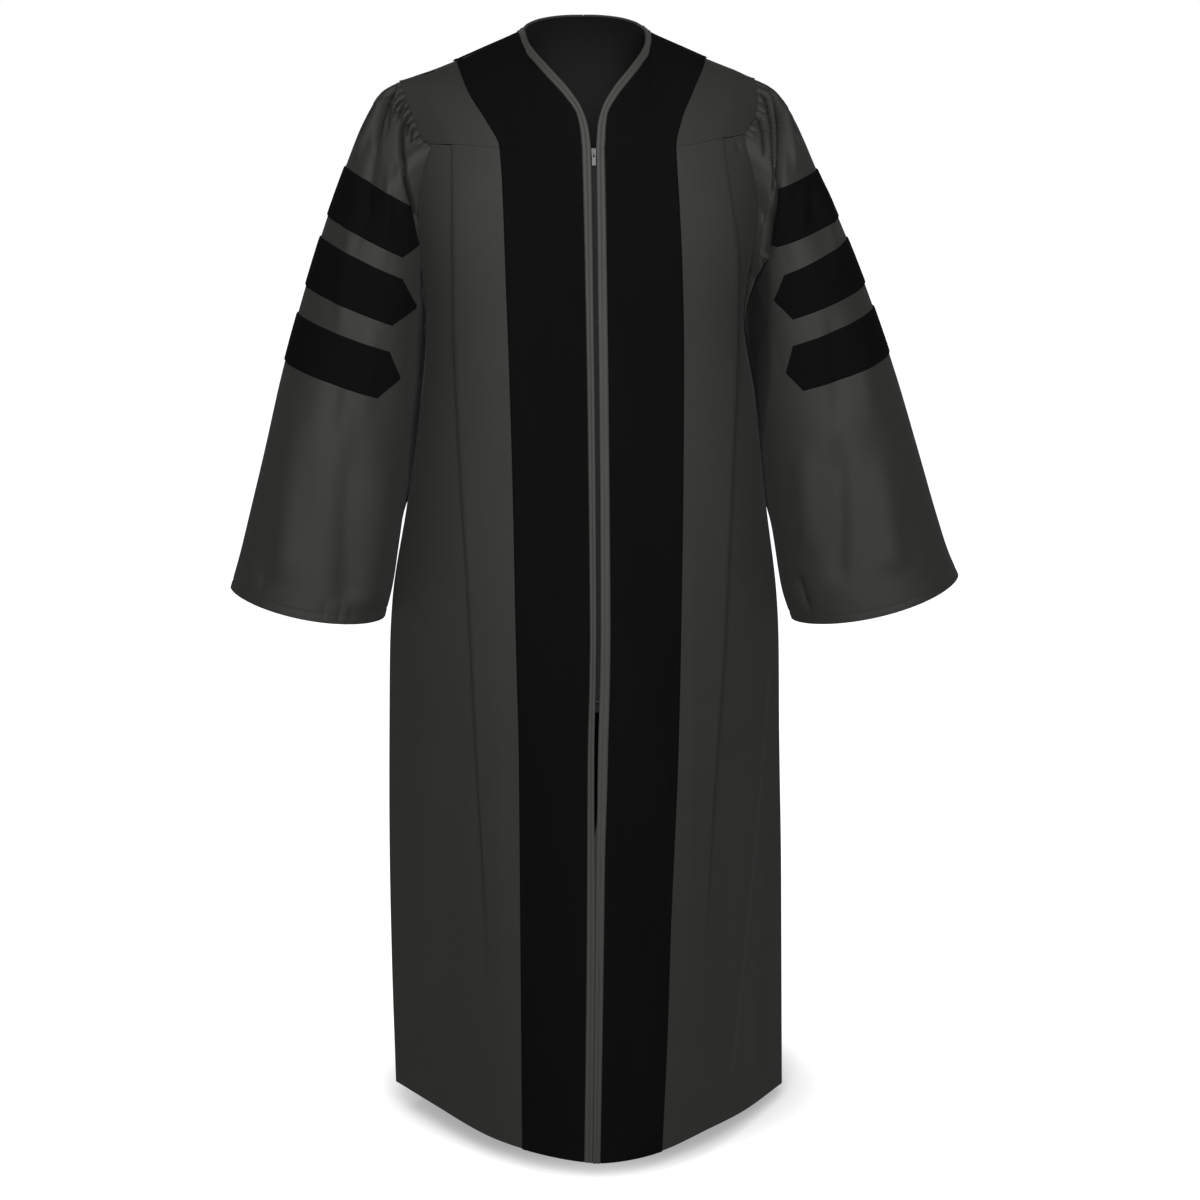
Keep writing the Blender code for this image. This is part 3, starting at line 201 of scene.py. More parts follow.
ARMHOLE = (
    (-0.046, 0.2265, 0.2020, 0.2265, 0.2020),
    (-0.072, 0.2190, 0.2025, 0.2200, 0.1995),
    (-0.095, 0.2092, 0.1975, 0.2125, 0.1960),
    (-0.110, 0.2035, 0.1850, 0.2080, 0.1935),
    (-0.121, 0.1985, 0.1832, 0.2060, 0.1925),
    (-0.126, 0.1893, 0.1834, 0.2050, 0.1922),
    (-0.158, 0.1982, 0.1920, 0.2030, 0.1935),
    (-0.205, 0.2058, 0.2012, 0.2040, 0.1970),
    (-0.270, 0.2030, 0.1985, 0.2020, 0.1960),
    (-0.335, 0.1970, 0.1910, 0.1970, 0.1910),
)
EDGE_COLUMNS = ("z", "velvet_right", "velvet_left", "pleat_right", "pleat_left")
EDGES = (
    (-0.027, 0.1590, 0.1415, 0.1655, 0.1540),
    (-0.067, 0.1440, 0.1178, 0.1655, 0.1540),
    (-0.100, 0.1238, 0.1018, 0.1655, 0.1540),
    (-0.128, 0.1100, 0.0949, 0.1655, 0.1552),
    (-0.190, 0.1068, 0.0981, 0.1644, 0.1612),
    (-0.270, 0.1044, 0.1018, 0.1631, 0.1692),
    (-0.370, 0.1013, 0.1038, 0.1619, 0.1685),
    (-0.500, 0.0985, 0.1032, 0.1580, 0.1640),
    (-0.720, 0.0958, 0.1002, 0.1480, 0.1550),
    (-0.860, 0.0932, 0.0969, 0.1428, 0.1467),
    (-1.060, 0.0930, 0.0875, 0.1350, 0.1376),
    (-1.200, 0.0931, 0.0820, 0.1310, 0.1315),
    (-1.360, 0.0932, 0.0735, 0.1285, 0.1257),
)
BAND_COLUMNS = ("z", "inner", "outer_right", "outer_left")
BAND_EDGES = (
    (-0.126, 0.0032, 0.0130, 0.0126),
    (-0.330, 0.0029, 0.0112, 0.0132),
    (-0.540, 0.0028, 0.0104, 0.0134),
    (-0.780, 0.0026, 0.0095, 0.0140),
    (-0.860, 0.0022, 0.0095, 0.0135),
    (-1.000, 0.0014, 0.0095, 0.0105),
    (-1.360, 0.0007, 0.0095, 0.0085),
)
SEAM_COLUMNS = ("out", "right", "left")
YOKE_SEAM = (
    (0.000, -0.1265, -0.1265), (0.095, -0.1290, -0.1270), (0.155, -0.1258, -0.1192), (0.190, -0.1250, -0.1140),
)
VELVET_OUT, ARM_OUT = 0.100, 0.190
PLEAT_BEND = 0.0010
PLEAT_COLUMNS = ("z", "turn_deg", "underlap")
PLEAT = (
    (-0.110, 180.0, 0.0140), (-0.500, 180.0, 0.0120), (-0.750, 175.0, 0.0070), (-0.860, 150.0, 0.0035),
    (-0.980, 80.0, 0.0015), (-1.110, 20.0, 0.0008), (-1.360, 4.0, 0.0004),
)
HEM_COLUMNS = ("across", "right", "left")
HEM_RISE = ((0.0, 0.0010, 0.0010), (0.25, 0.0040, 0.0030), (0.50, 0.0055, 0.0065), (0.80, 0.0135, -0.0010),
            (1.0, 0.0160, -0.0040))
ARM_LEVELS = (-0.150, -0.180, -0.212, -0.245, -0.278, -0.308, UNDERARM_Z)
SKIRT_LEVELS = (-0.385, -0.440, -0.505, -0.570, -0.630, -0.690, -0.750, -0.860, -0.980, -1.100, -1.230, HEM_Z)
LEVEL_STEPS = 10
BAND_FINE, STRIP_FINE, SIDE_FINE = 12, 16, 52
VELVET_SHARES = np.concatenate([np.linspace(0, 0.82, 12)[:-1], np.linspace(0.82, 1, 14)])
VELVET_FINE = len(VELVET_SHARES) - 1
FOLD_FINE, LAP_FINE = 5, 3
PLEAT_RISE = {"right": 0.0040, "left": 0.0065}
PLEAT_SINK = 0.0030

# Soft troughs and ridges of the fronts: places across and down, height, reach to each side and, as shares of
# the length, how quickly each begins and ends
CREASE_COLUMNS = ("line", "height", "reach_a", "reach_b", "begin", "end")
FRONT_CREASES = {
    "right": (
        (((-0.169, -0.33), (-0.187, -0.40), (-0.199, -0.47)), -0.0016, 0.014, 0.022, 0.4, 0.5),
        (((-0.226, -0.68), (-0.205, -0.72), (-0.190, -0.76)), -0.0016, 0.008, 0.014, 0.3, 0.6),
        (((-0.205, -0.55), (-0.212, -0.80), (-0.215, -1.05), (-0.222, -1.34)), 0.0030, 0.020, 0.026, 0.5, 0.2),
        (((-0.170, -0.75), (-0.176, -1.00), (-0.180, -1.20), (-0.186, -1.35)), -0.0026, 0.018, 0.024, 0.6, 0.1),
        (((-0.122, -0.60), (-0.119, -0.85), (-0.116, -1.10), (-0.112, -1.35)), 0.0014, 0.014, 0.014, 0.5, 0.2),
    ),
    "left": (
        (((0.171, -0.122), (0.175, -0.128), (0.180, -0.140)), -0.0018, 0.0024, 0.0040, 0.2, 0.7),
        (((0.226, -0.72), (0.221, -0.82), (0.210, -0.95), (0.189, -1.125), (0.165, -1.32)),
         0.0042, 0.0050, 0.0220, 0.25, 0.15),
        (((0.238, -0.86), (0.231, -1.00), (0.222, -1.16), (0.214, -1.34)), -0.0032, 0.010, 0.018, 0.5, 0.1),
        (((0.178, -0.80), (0.172, -0.98), (0.156, -1.20), (0.148, -1.35)), -0.0022, 0.014, 0.020, 0.5, 0.2),
        (((0.196, -0.30), (0.200, -0.44), (0.204, -0.62)), -0.0014, 0.016, 0.022, 0.5, 0.5),
        (((0.112, -0.45), (0.116, -0.70), (0.112, -0.95), (0.106, -1.20)), 0.0012, 0.012, 0.016, 0.5, 0.3),
    ),
}


def curve(at, table, columns, name):
    """Monotone cubic through one named column of a table, read at the values of its first column."""
    knots = np.array([row[0] for row in table], float)
    values = np.array([row[columns.index(name)] for row in table], float)
    if knots[0] > knots[-1]:
        knots, values = knots[::-1], values[::-1]
    step = np.diff(knots)
    slope = np.diff(values) / step
    before, after = slope[:-1], slope[1:]
    tangent = np.zeros_like(values)
    same = before * after > 0
    tangent[1:-1] = np.where(same, 2 * before * after / np.where(same, before + after, 1), 0)
    tangent[0], tangent[-1] = slope[0], slope[-1]
    at = np.clip(np.asarray(at, float), knots[0], knots[-1])
    i = np.clip(np.searchsorted(knots, at, side="right") - 1, 0, len(knots) - 2)
    h = step[i]
    u = (at - knots[i]) / h
    return (values[i] * (1 + 2 * u) * (1 - u) ** 2 + values[i + 1] * u * u * (3 - 2 * u)
            + h * tangent[i] * u * (1 - u) ** 2 - h * tangent[i + 1] * u * u * (1 - u))


def section(z, name):
    """One value of the body's sections at each height."""
    return curve(z, BODY_SECTIONS, BODY_COLUMNS, name)


def ridge(x):
    """Height of the shoulder ridge above each place across the body."""
    return curve(np.abs(x - NECK_MIDDLE), RIDGE, RIDGE_COLUMNS, "z")


def turn_of(x, z):
    """How far round the shoulder a point is: 0 on the ridge, 1 where the chest or back falls straight."""
    drop = np.maximum(ridge(x) - z, 0)
    bent = np.arccos(1 - np.minimum(drop / ARCH, 1)) * 2 / np.pi
    return bent + np.maximum(drop - ARCH, 0) / (ARCH * np.pi / 2)


SEAM_CLEAR = 0.00003


def body_y(x, z, half, wave=0.0):
    """The body form: a rounded section at each height, closing at the side seams and over the shoulders."""
    across = (x - section(z, "sway")) / section(z, "half_width")
    over = np.minimum(np.abs(across), 1)
    bulge = (1 - over ** section(z, half + "_power")) ** section(z, half + "_crease")
    shoulder = np.sin(np.minimum(turn_of(x, z), 1) * np.pi / 2)
    out = SEAM_CLEAR + section(z, half + "_depth") * bulge * shoulder
    if callable(wave):
        out = out + wave(across, z)
    return section(z, "side_y") + (out if half == "back" else -out)


def body_point(x, z, lift, half, wave=0.0):
    """Points of the form moved out along its normal, which is level with X at the side seams."""
    step = 2e-4
    x, z, lift = np.broadcast_arrays(np.asarray(x, float), z, lift)
    y = body_y(x, z, half, wave)
    slope_x = (body_y(x + step, z, half, wave) - body_y(x - step, z, half, wave)) / (2 * step)
    slope_z = (body_y(x, z + step, half, wave) - body_y(x, z - step, half, wave)) / (2 * step)
    facing = 1.0 if half == "back" else -1.0
    normal = facing * np.stack([-slope_x, np.ones_like(x), -slope_z], axis=-1)
    offset = x - section(z, "sway")
    seam = np.abs(offset) > 0.999 * section(z, "half_width")
    sideways = np.stack([np.sign(offset), np.zeros_like(x), np.zeros_like(x)], axis=-1)
    low = seam & (turn_of(x, z) > 0.5)
    normal = np.where(low[..., None], sideways, normal)
    normal = normal / np.linalg.norm(normal, axis=-1, keepdims=True)
    return np.stack([x, y, z], axis=-1) + normal * lift[..., None]


def between(first, last, shares):
    """Values from one array to another as new columns, spaced evenly if shares is a number of steps."""
    share = np.linspace(0, 1, shares + 1) if np.isscalar(shares) else shares
    return np.asarray(first)[..., None] * (1 - share) + np.asarray(last)[..., None] * share


def armhole_x(z, side_name, half):
    """Distance of the armhole seam from the middle."""
    return curve(z, ARMHOLE, ARMHOLE_COLUMNS, half + "_" + side_name)


def body_edge(z, side_name, half):
    """Distance of a panel's outer edge from the middle: the armhole, and below it the side seam."""
    side = SIDES[side_name]
    seam = section(z, "half_width") + side * section(z, "sway")
    return np.where(z > UNDERARM_Z + 1e-6, armhole_x(z, side_name, half), seam)


def seam_height(out, side_name):
    """Height of the yoke seam at a distance from the middle."""
    return curve(out, YOKE_SEAM, SEAM_COLUMNS, side_name)


def finer(levels, steps):
    """A list of levels with each of its spaces divided evenly."""
    levels = np.asarray(levels, float)
    return np.interp(np.arange((len(levels) - 1) * steps + 1) / steps, np.arange(len(levels)), levels)


def creases(x, z, table):
    """Height of soft folds: each is a bell curve across a smooth line, of its own reach on either side, and eases
    in and out along the line."""
    total = np.zeros(np.broadcast(x, z).shape)
    for line, height, reach_a, reach_b, begin, end in table:
        knots = np.array(line)
        share = np.linspace(0, 1, len(knots))
        fine = np.linspace(0, 1, 4 * len(knots) - 3)
        path = np.stack([curve(fine, list(zip(share, knots[:, axis])), ("at", "place"), "place")
                         for axis in (0, 1)], axis=1)
        step = np.diff(path, axis=0)
        size = np.hypot(step[:, 0], step[:, 1])
        before = np.concatenate([[0], np.cumsum(size)])
        gap, along, hand = np.full(total.shape, np.inf), np.zeros(total.shape), np.ones(total.shape)
        for start, move, length, passed in zip(path[:-1], step, size, before):
            part = np.clip(((x - start[0]) * move[0] + (z - start[1]) * move[1]) / length ** 2, 0, 1)
            aside, above = x - start[0] - part * move[0], z - start[1] - part * move[1]
            far = np.hypot(aside, above)
            nearer = far < gap
            gap = np.where(nearer, far, gap)
            along = np.where(nearer, (passed + part * length) / before[-1], along)
            hand = np.where(nearer, np.sign(move[0] * above - move[1] * aside), hand)
        ease = np.minimum(along / max(begin, 1e-6), (1 - along) / max(end, 1e-6))
        ease = np.clip(ease, 0, 1)
        ease = ease * ease * (3 - 2 * ease)
        reach = np.where(hand > 0, reach_a, reach_b)
        total += height * ease * np.exp(-(gap / reach) ** 2)
    return total


def pleat_path(z):
    """The knife pleat in section: distance past the fold's start, height and heading at each of its columns."""
    turn = np.radians(curve(z, PLEAT, PLEAT_COLUMNS, "turn_deg"))
    underlap = curve(z, PLEAT, PLEAT_COLUMNS, "underlap")
    arc = turn / FOLD_FINE
    moves = [(PLEAT_BEND * arc, -arc)] * FOLD_FINE + [(underlap / LAP_FINE, 0 * turn)] * LAP_FINE
    moves += [(PLEAT_BEND * arc, arc)] * FOLD_FINE
    along, height, heading = [0 * turn], [0 * turn], [0 * turn]
    for length, bend in moves:
        chord = heading[-1] + bend / 2
        along.append(along[-1] + length * np.cos(chord))
        height.append(height[-1] + length * np.sin(chord))
        heading.append(heading[-1] + bend)
    return np.stack(along, -1), np.stack(height, -1), np.stack(heading, -1)


SLIT_CLOSES = (-0.93, -1.06)


def opening_half(z):
    """Half the width of the front opening: as the bands stand by the zip, closing to nothing towards the hem."""
    shut = np.clip((z - SLIT_CLOSES[0]) / (SLIT_CLOSES[1] - SLIT_CLOSES[0]), 0, 1)
    return curve(z, BAND_EDGES, BAND_COLUMNS, "inner") * (1 - shut) + GAP / 2 * shut


def front_panel_grid(side_name):
    """Places on the front panel: rows from the yoke seam to the hem, columns from the opening to the side."""
    side = SIDES[side_name]
    top = seam_height(VELVET_OUT, side_name)
    z = finer([top, *ARM_LEVELS, *SKIRT_LEVELS], LEVEL_STEPS)
    at_seam = np.clip((z - ARM_LEVELS[0]) / (top - ARM_LEVELS[0]), 0, 1)
    at_hem = np.clip((z - SKIRT_LEVELS[-2]) / (HEM_Z - SKIRT_LEVELS[-2]), 0, 1)
    opening = side * section(z, "opening_x")
    inner = opening + opening_half(z)
    outer = opening + curve(z, BAND_EDGES, BAND_COLUMNS, "outer_" + side_name)
    velvet = curve(z, EDGES, EDGE_COLUMNS, "velvet_" + side_name)
    fold = curve(z, EDGES, EDGE_COLUMNS, "pleat_" + side_name) - PLEAT_BEND - CLOTH / 2
    along, height, heading = pleat_path(z)
    edge = body_edge(z + (seam_height(ARM_OUT, side_name) - top) * at_seam, side_name, "front")
    half_width = section(z, "half_width")
    sway = side * section(z, "sway")
    start = fold + along[:, -1]
    near = np.arcsin(np.clip((start - sway) / half_width, -1, 1))
    far = np.arcsin(np.clip((edge - sway) / half_width, -1, 1))
    swept = np.sin(between(near, far, SIDE_FINE)) * half_width[:, None] + sway[:, None]
    flat = np.hstack([between(inner, outer, BAND_FINE)[:, :-1], between(outer, velvet, VELVET_SHARES)[:, :-1],
                      between(velvet, fold, STRIP_FINE)[:, :-1]])
    x = np.hstack([flat, fold[:, None] + along, swept[:, 1:]])
    share = np.linspace(0, 1, SIDE_FINE + 1)[1:]
    drop = np.hstack([np.zeros_like(flat), height, height[:, -1:] * (1 - share)])
    angle = np.hstack([np.zeros_like(flat), heading, np.zeros_like(swept[:, 1:])])
    drop[:, -SIDE_FINE:] += (ARM_LIFT - PANEL_LIFT) * share
    strip = slice(BAND_FINE + VELVET_FINE, flat.shape[1])
    open_fold = np.clip((top - z) / 0.10, 0, 1) * np.clip((z + 1.15) / 0.35, 0, 1)
    rise = PLEAT_RISE[side_name] * open_fold[:, None]
    drop[:, strip] += rise * np.linspace(0, 1, STRIP_FINE + 1)[:-1] ** 1.5
    fade = np.clip(1 - (x[:, -SIDE_FINE:] - start[:, None]) / 0.05, 0, 1) ** 2
    drop[:, flat.shape[1]:-SIDE_FINE] += rise * np.linspace(1, -PLEAT_SINK / PLEAT_RISE[side_name], along.shape[1])
    drop[:, -SIDE_FINE:] -= PLEAT_SINK * open_fold[:, None] * fade
    level_z = np.broadcast_to(z[:, None], x.shape).copy()
    seam_gap = GAP * (np.arange(x.shape[1]) >= flat.shape[1])
    level_z += (seam_height(x[0], side_name) - seam_gap - top) * at_seam[:, None]
    level_z += curve(x[-1] / half_width[-1], HEM_RISE, HEM_COLUMNS, side_name) * at_hem[:, None]
    return side * x, level_z, PANEL_LIFT + drop, angle


def cloth_wall(name, outer, inner, plan, material, slot, replaced, ring=False, facing=None, painted_shade=None):
    """A closed sheet of cloth: quads over an outer and an inner grid of points and a rim along each free edge.

    The plan gives each point's place on the flat cloth in metres and becomes the UV map, and the last argument is
    painted shade: how far the colour is darkened towards near-black in narrow folds, seams and hollows, where shade
    falls."""
    rows, columns = outer.shape[:2]
    count = rows * columns
    index = np.arange(count).reshape(rows, columns)
    flat = np.arange(rows * (columns + ring)).reshape(rows, columns + ring)
    if ring:
        index = np.hstack([index, index[:, :1]])
    corners = []
    for grid in (index, flat):
        a, b, c, d = grid[:-1, :-1], grid[1:, :-1], grid[1:, 1:], grid[:-1, 1:]
        more = count if grid is index else 0
        quads = [np.stack([a, b, c, d], -1).reshape(-1, 4), np.stack([a, d, c, b], -1).reshape(-1, 4) + more]
        rims = [(a[0], d[0]), (c[-1], b[-1])]
        if not ring:
            rims += [(b[:, 0], a[:, 0]), (d[:, -1], c[:, -1])]
        quads += [np.stack([start, end, end + more, start + more], -1) for start, end in rims]
        corners.append(np.concatenate(quads))
    faces, places = corners
    points = np.concatenate([outer.reshape(-1, 3), inner.reshape(-1, 3)])
    p, q, r, s = [points[faces[:, corner]] for corner in range(4)]
    if (np.einsum("ij,ij->i", p, np.cross(q, r)) + np.einsum("ij,ij->i", p, np.cross(r, s))).sum() < 0:
        faces, places = faces[:, ::-1], places[:, ::-1]
    mesh = bpy.data.meshes.new(name)
    mesh.from_pydata(points.tolist(), [], faces.tolist())
    uv = mesh.uv_layers.new(name="plan")
    uv.data.foreach_set("uv", plan.reshape(-1, 2)[places.ravel()].astype(np.float32).ravel())
    # Painted shade kept on the points, for the material to darken the colour with
    if painted_shade is not None:
        painted_shade_layer = mesh.attributes.new("painted_shade", "FLOAT", "POINT")
        painted_shade_layer.data.foreach_set("value", np.concatenate([painted_shade.ravel()] * 2).astype(np.float32))
    mesh.materials.append(material)
    if facing:
        mesh.materials.append(facing)
        number = len(faces) - sum(len(start) for start, _ in rims)
        inside = (np.arange(len(faces)) >= number // 2) & (np.arange(len(faces)) < number)
        mesh.polygons.foreach_set("material_index", inside.astype(np.int32))
    mesh.shade_smooth()
    mesh.set_sharp_from_angle(angle=np.radians(65))
    made = bpy.data.objects.new(name, mesh)
    bpy.context.scene.collection.objects.link(made)
    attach(made, "gown")
    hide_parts(*replaced)
    return made


def node_group(name, inputs, outputs):
    """An empty shader group with the named inputs and outputs."""
    group = bpy.data.node_groups.new(name, "ShaderNodeTree")
    for label, kind, value in inputs:
        socket = group.interface.new_socket(label, in_out="INPUT", socket_type=kind)
        if value is not None:
            socket.default_value = value
    for label, kind in outputs:
        group.interface.new_socket(label, in_out="OUTPUT", socket_type=kind)
    return group, group.nodes.new("NodeGroupInput"), group.nodes.new("NodeGroupOutput")


def woven_group():
    """Plain weave: threads over and under each way as a product of two sines of the plan, with uneven yarns and a
    slow drift of shade."""
    group, start, end = node_group(
        "woven_cloth",
        [("Plan", "NodeSocketVector", None), ("Thread", "NodeSocketFloat", 0.0007),
         ("Unevenness", "NodeSocketFloat", 0.5)],
        [("Height", "NodeSocketFloat"), ("Shade", "NodeSocketFloat")])
    split = group.nodes.new("ShaderNodeSeparateXYZ")
    link_nodes(group, (start.outputs["Plan"], split.inputs[0]))
    waves = []
    for axis in (0, 1):
        turns = math_node(group, "DIVIDE", split.outputs[axis], start.outputs["Thread"])
        waves.append(math_node(group, "SINE", math_node(group, "MULTIPLY", turns, 2 * np.pi)))
    weave = math_node(group, "MULTIPLY", waves[0], waves[1])
    yarn = group.nodes.new("ShaderNodeTexNoise")
    yarn.inputs["Scale"].default_value = 260
    yarn.inputs["Detail"].default_value = 2
    stretch = group.nodes.new("ShaderNodeMapping")
    stretch.inputs["Scale"].default_value = (1.0, 0.12, 1.0)
    drift = group.nodes.new("ShaderNodeTexNoise")
    drift.inputs["Scale"].default_value = 9
    drift.inputs["Detail"].default_value = 3
    link_nodes(group, (start.outputs["Plan"], stretch.inputs["Vector"]),
               (stretch.outputs["Vector"], yarn.inputs["Vector"]), (start.outputs["Plan"], drift.inputs["Vector"]))
    uneven = math_node(group, "MULTIPLY", yarn.outputs["Fac"], start.outputs["Unevenness"])
    link_nodes(group, (math_node(group, "ADD", weave, uneven), end.inputs["Height"]))
    shade = math_node(group, "ADD", math_node(group, "MULTIPLY", yarn.outputs["Fac"], 0.35),
                      math_node(group, "MULTIPLY", drift.outputs["Fac"], 0.65))
    link_nodes(group, (shade, end.inputs["Shade"]))
    return group


# Near-black colour of the painted shade in narrow folds, seams and hollows
PAINTED_FOLD_SHADE = (0.004, 0.004, 0.0036, 1)


def cloth_material(name, dark, light, roughness, sheen, thread, bump):
    """Woven cloth: two close colours mixed by the weave's shade, and the weave as a shallow bump. A painted shade
    attribute darkens the colour towards near-black in narrow folds, seams and hollows.
    """
    material = bpy.data.materials.new(name)
    material.use_nodes = True
    tree = material.node_tree
    shader = tree.nodes["Principled BSDF"]
    shader.inputs["Roughness"].default_value = roughness
    shader.inputs["Specular IOR Level"].default_value = 0.35
    shader.inputs["Sheen Weight"].default_value = sheen
    shader.inputs["Sheen Roughness"].default_value = 0.45
    plan = tree.nodes.new("ShaderNodeUVMap")
    plan.uv_map = "plan"
    weave = tree.nodes.new("ShaderNodeGroup")
    weave.node_tree = WOVEN
    weave.inputs["Thread"].default_value = thread
    mix = tree.nodes.new("ShaderNodeMix")
    mix.data_type = "RGBA"
    mix.inputs["A"].default_value = (*dark, 1)
    mix.inputs["B"].default_value = (*light, 1)
    raised = tree.nodes.new("ShaderNodeBump")
    raised.inputs["Strength"].default_value = bump
    raised.inputs["Distance"].default_value = 0.0002
    # Painted shade: this attribute darkens the base colour where shade falls in folds, seams and hollows
    painted_shade = tree.nodes.new("ShaderNodeAttribute")
    painted_shade.attribute_name = "painted_shade"
    painted_shade_mix = tree.nodes.new("ShaderNodeMix")
    painted_shade_mix.data_type = "RGBA"
    painted_shade_mix.inputs["B"].default_value = PAINTED_FOLD_SHADE
    link_nodes(tree, (plan.outputs["UV"], weave.inputs["Plan"]), (weave.outputs["Shade"], mix.inputs["Factor"]),
               (painted_shade.outputs["Fac"], painted_shade_mix.inputs["Factor"]), (mix.outputs["Result"], painted_shade_mix.inputs["A"]),
               (painted_shade_mix.outputs["Result"], shader.inputs["Base Color"]), (weave.outputs["Height"], raised.inputs["Height"]),
               (raised.outputs["Normal"], shader.inputs["Normal"]))
    return material


WOVEN = woven_group()
charcoal = cloth_material("charcoal_cloth", (0.040, 0.039, 0.036), (0.052, 0.051, 0.047), 0.62, 0.06, 0.0007, 0.25)
FRONT_CUT = {"right": (0.34, 1.27, 0.398), "left": (0.34, 1.27, 0.412)}
PLEAT_SHADE = (0.0030, 0.95)
FLY = 0.006
FLY_DOWN = 0.0022
for side_name, side in SIDES.items():
    x, z, lift, angle = front_panel_grid(side_name)
    if side_name == "left":
        closed = np.clip((SLIT_CLOSES[0] - z[:, 0]) / 0.05, 0, 1)
        x[:, 0] -= FLY * closed
        lift[:, 0] -= FLY_DOWN * closed
    lift = lift + creases(x, z, FRONT_CREASES[side_name])
    # Painted shade: a dark line beside the pleat's fold, darkening the colour where the fold's shade falls, fading out
    # low down
    beside = np.abs(x - x[:, [-SIDE_FINE - 1]]) / PLEAT_SHADE[0]
    painted_shade = PLEAT_SHADE[1] * np.exp(-beside ** 2) * np.clip((z + 1.10) / 0.30, 0, 1)
    painted_shade[:, :-SIDE_FINE - 1] *= (angle[:, :-SIDE_FINE - 1] != 0) * 1.0
    walls = [body_point(x - side * np.sin(angle) * half, z, lift + np.cos(angle) * half, "front")
             for half in (CLOTH / 2, -CLOTH / 2)]
    front = cloth_wall("front_%s_cloth" % side_name, *walls, np.stack([x, z], -1), charcoal, "charcoal_cloth",
                       ["front_" + side_name], painted_shade=painted_shade)
    width, length, area = FRONT_CUT[side_name]

# Front yokes
# A smooth piece of the same cloth over each shoulder, from the neck to the armhole, seamed to the front at chest
# height and to the back yoke along the shoulder.
YOKE_LIFT = 0.0040
YOKE_FLAT = 0.55
NECKLINE_COLUMNS = ("inner_z", "inner", "outer_z", "outer")
NECKLINE = (
    (0.0050, 0.0690, -0.0005, 0.0762),
    (-0.0070, 0.0665, -0.0115, 0.0733),
    (-0.0170, 0.0617, -0.0250, 0.0655),
    (-0.0345, 0.0480, -0.0450, 0.0505),
    (-0.0600, 0.0263, -0.0700, 0.0295),
    (-0.0820, 0.0122, -0.0900, 0.0173),
    (-0.1030, 0.0056, -0.1080, 0.0143),
    (-0.1260, 0.0032, -0.1260, 0.0130),
)
NECK_HIGH_Z, NECK_LOW_Z = -0.0345, -0.0600
YOKE_STEPS = (0.0, 0.15, 0.30, 0.45, 0.60, 0.75, 0.92, 1.0)
OUTER_FINE = 36
YOKE_FINE = 8
YOKE_CUT = {"right": (0.26, 0.16, 0.0275), "left": (0.25, 0.16, 0.0258)}


def height_of(x, turn):
    """The height at a turn round the shoulder, the inverse of turn_of."""
    bent = ARCH * (1 - np.cos(np.minimum(turn, 1) * np.pi / 2))
    return ridge(x) - bent - np.maximum(turn - 1, 0) * ARCH * np.pi / 2


def shoulder_end(side_name):
    """Top of the armhole, on the ridge."""
    x = armhole_x(0.0, side_name, "front")
    return x, ridge(SIDES[side_name] * x)


def velvet_top(side_name):
    """Distance of the velvet's outer edge from the middle on the shoulder."""
    return EDGES[0][EDGE_COLUMNS.index("velvet_" + side_name)]


def yoke_share():
    """Place of each line of the yoke's walls, from 0 at the velvet's edge and within it to 1 at the armhole."""
    return np.concatenate([np.zeros(BAND_FINE + VELVET_FINE), np.linspace(0, 1, OUTER_FINE + 1)])


def yoke_lift(share):
    """Lift of the yoke between the velvet's edge, 0, and the armhole, 1."""
    ease = np.clip((share - YOKE_FLAT) / (1 - YOKE_FLAT), 0, 1)
    return YOKE_LIFT - (YOKE_LIFT - ARM_LIFT) * ease * ease * (3 - 2 * ease)


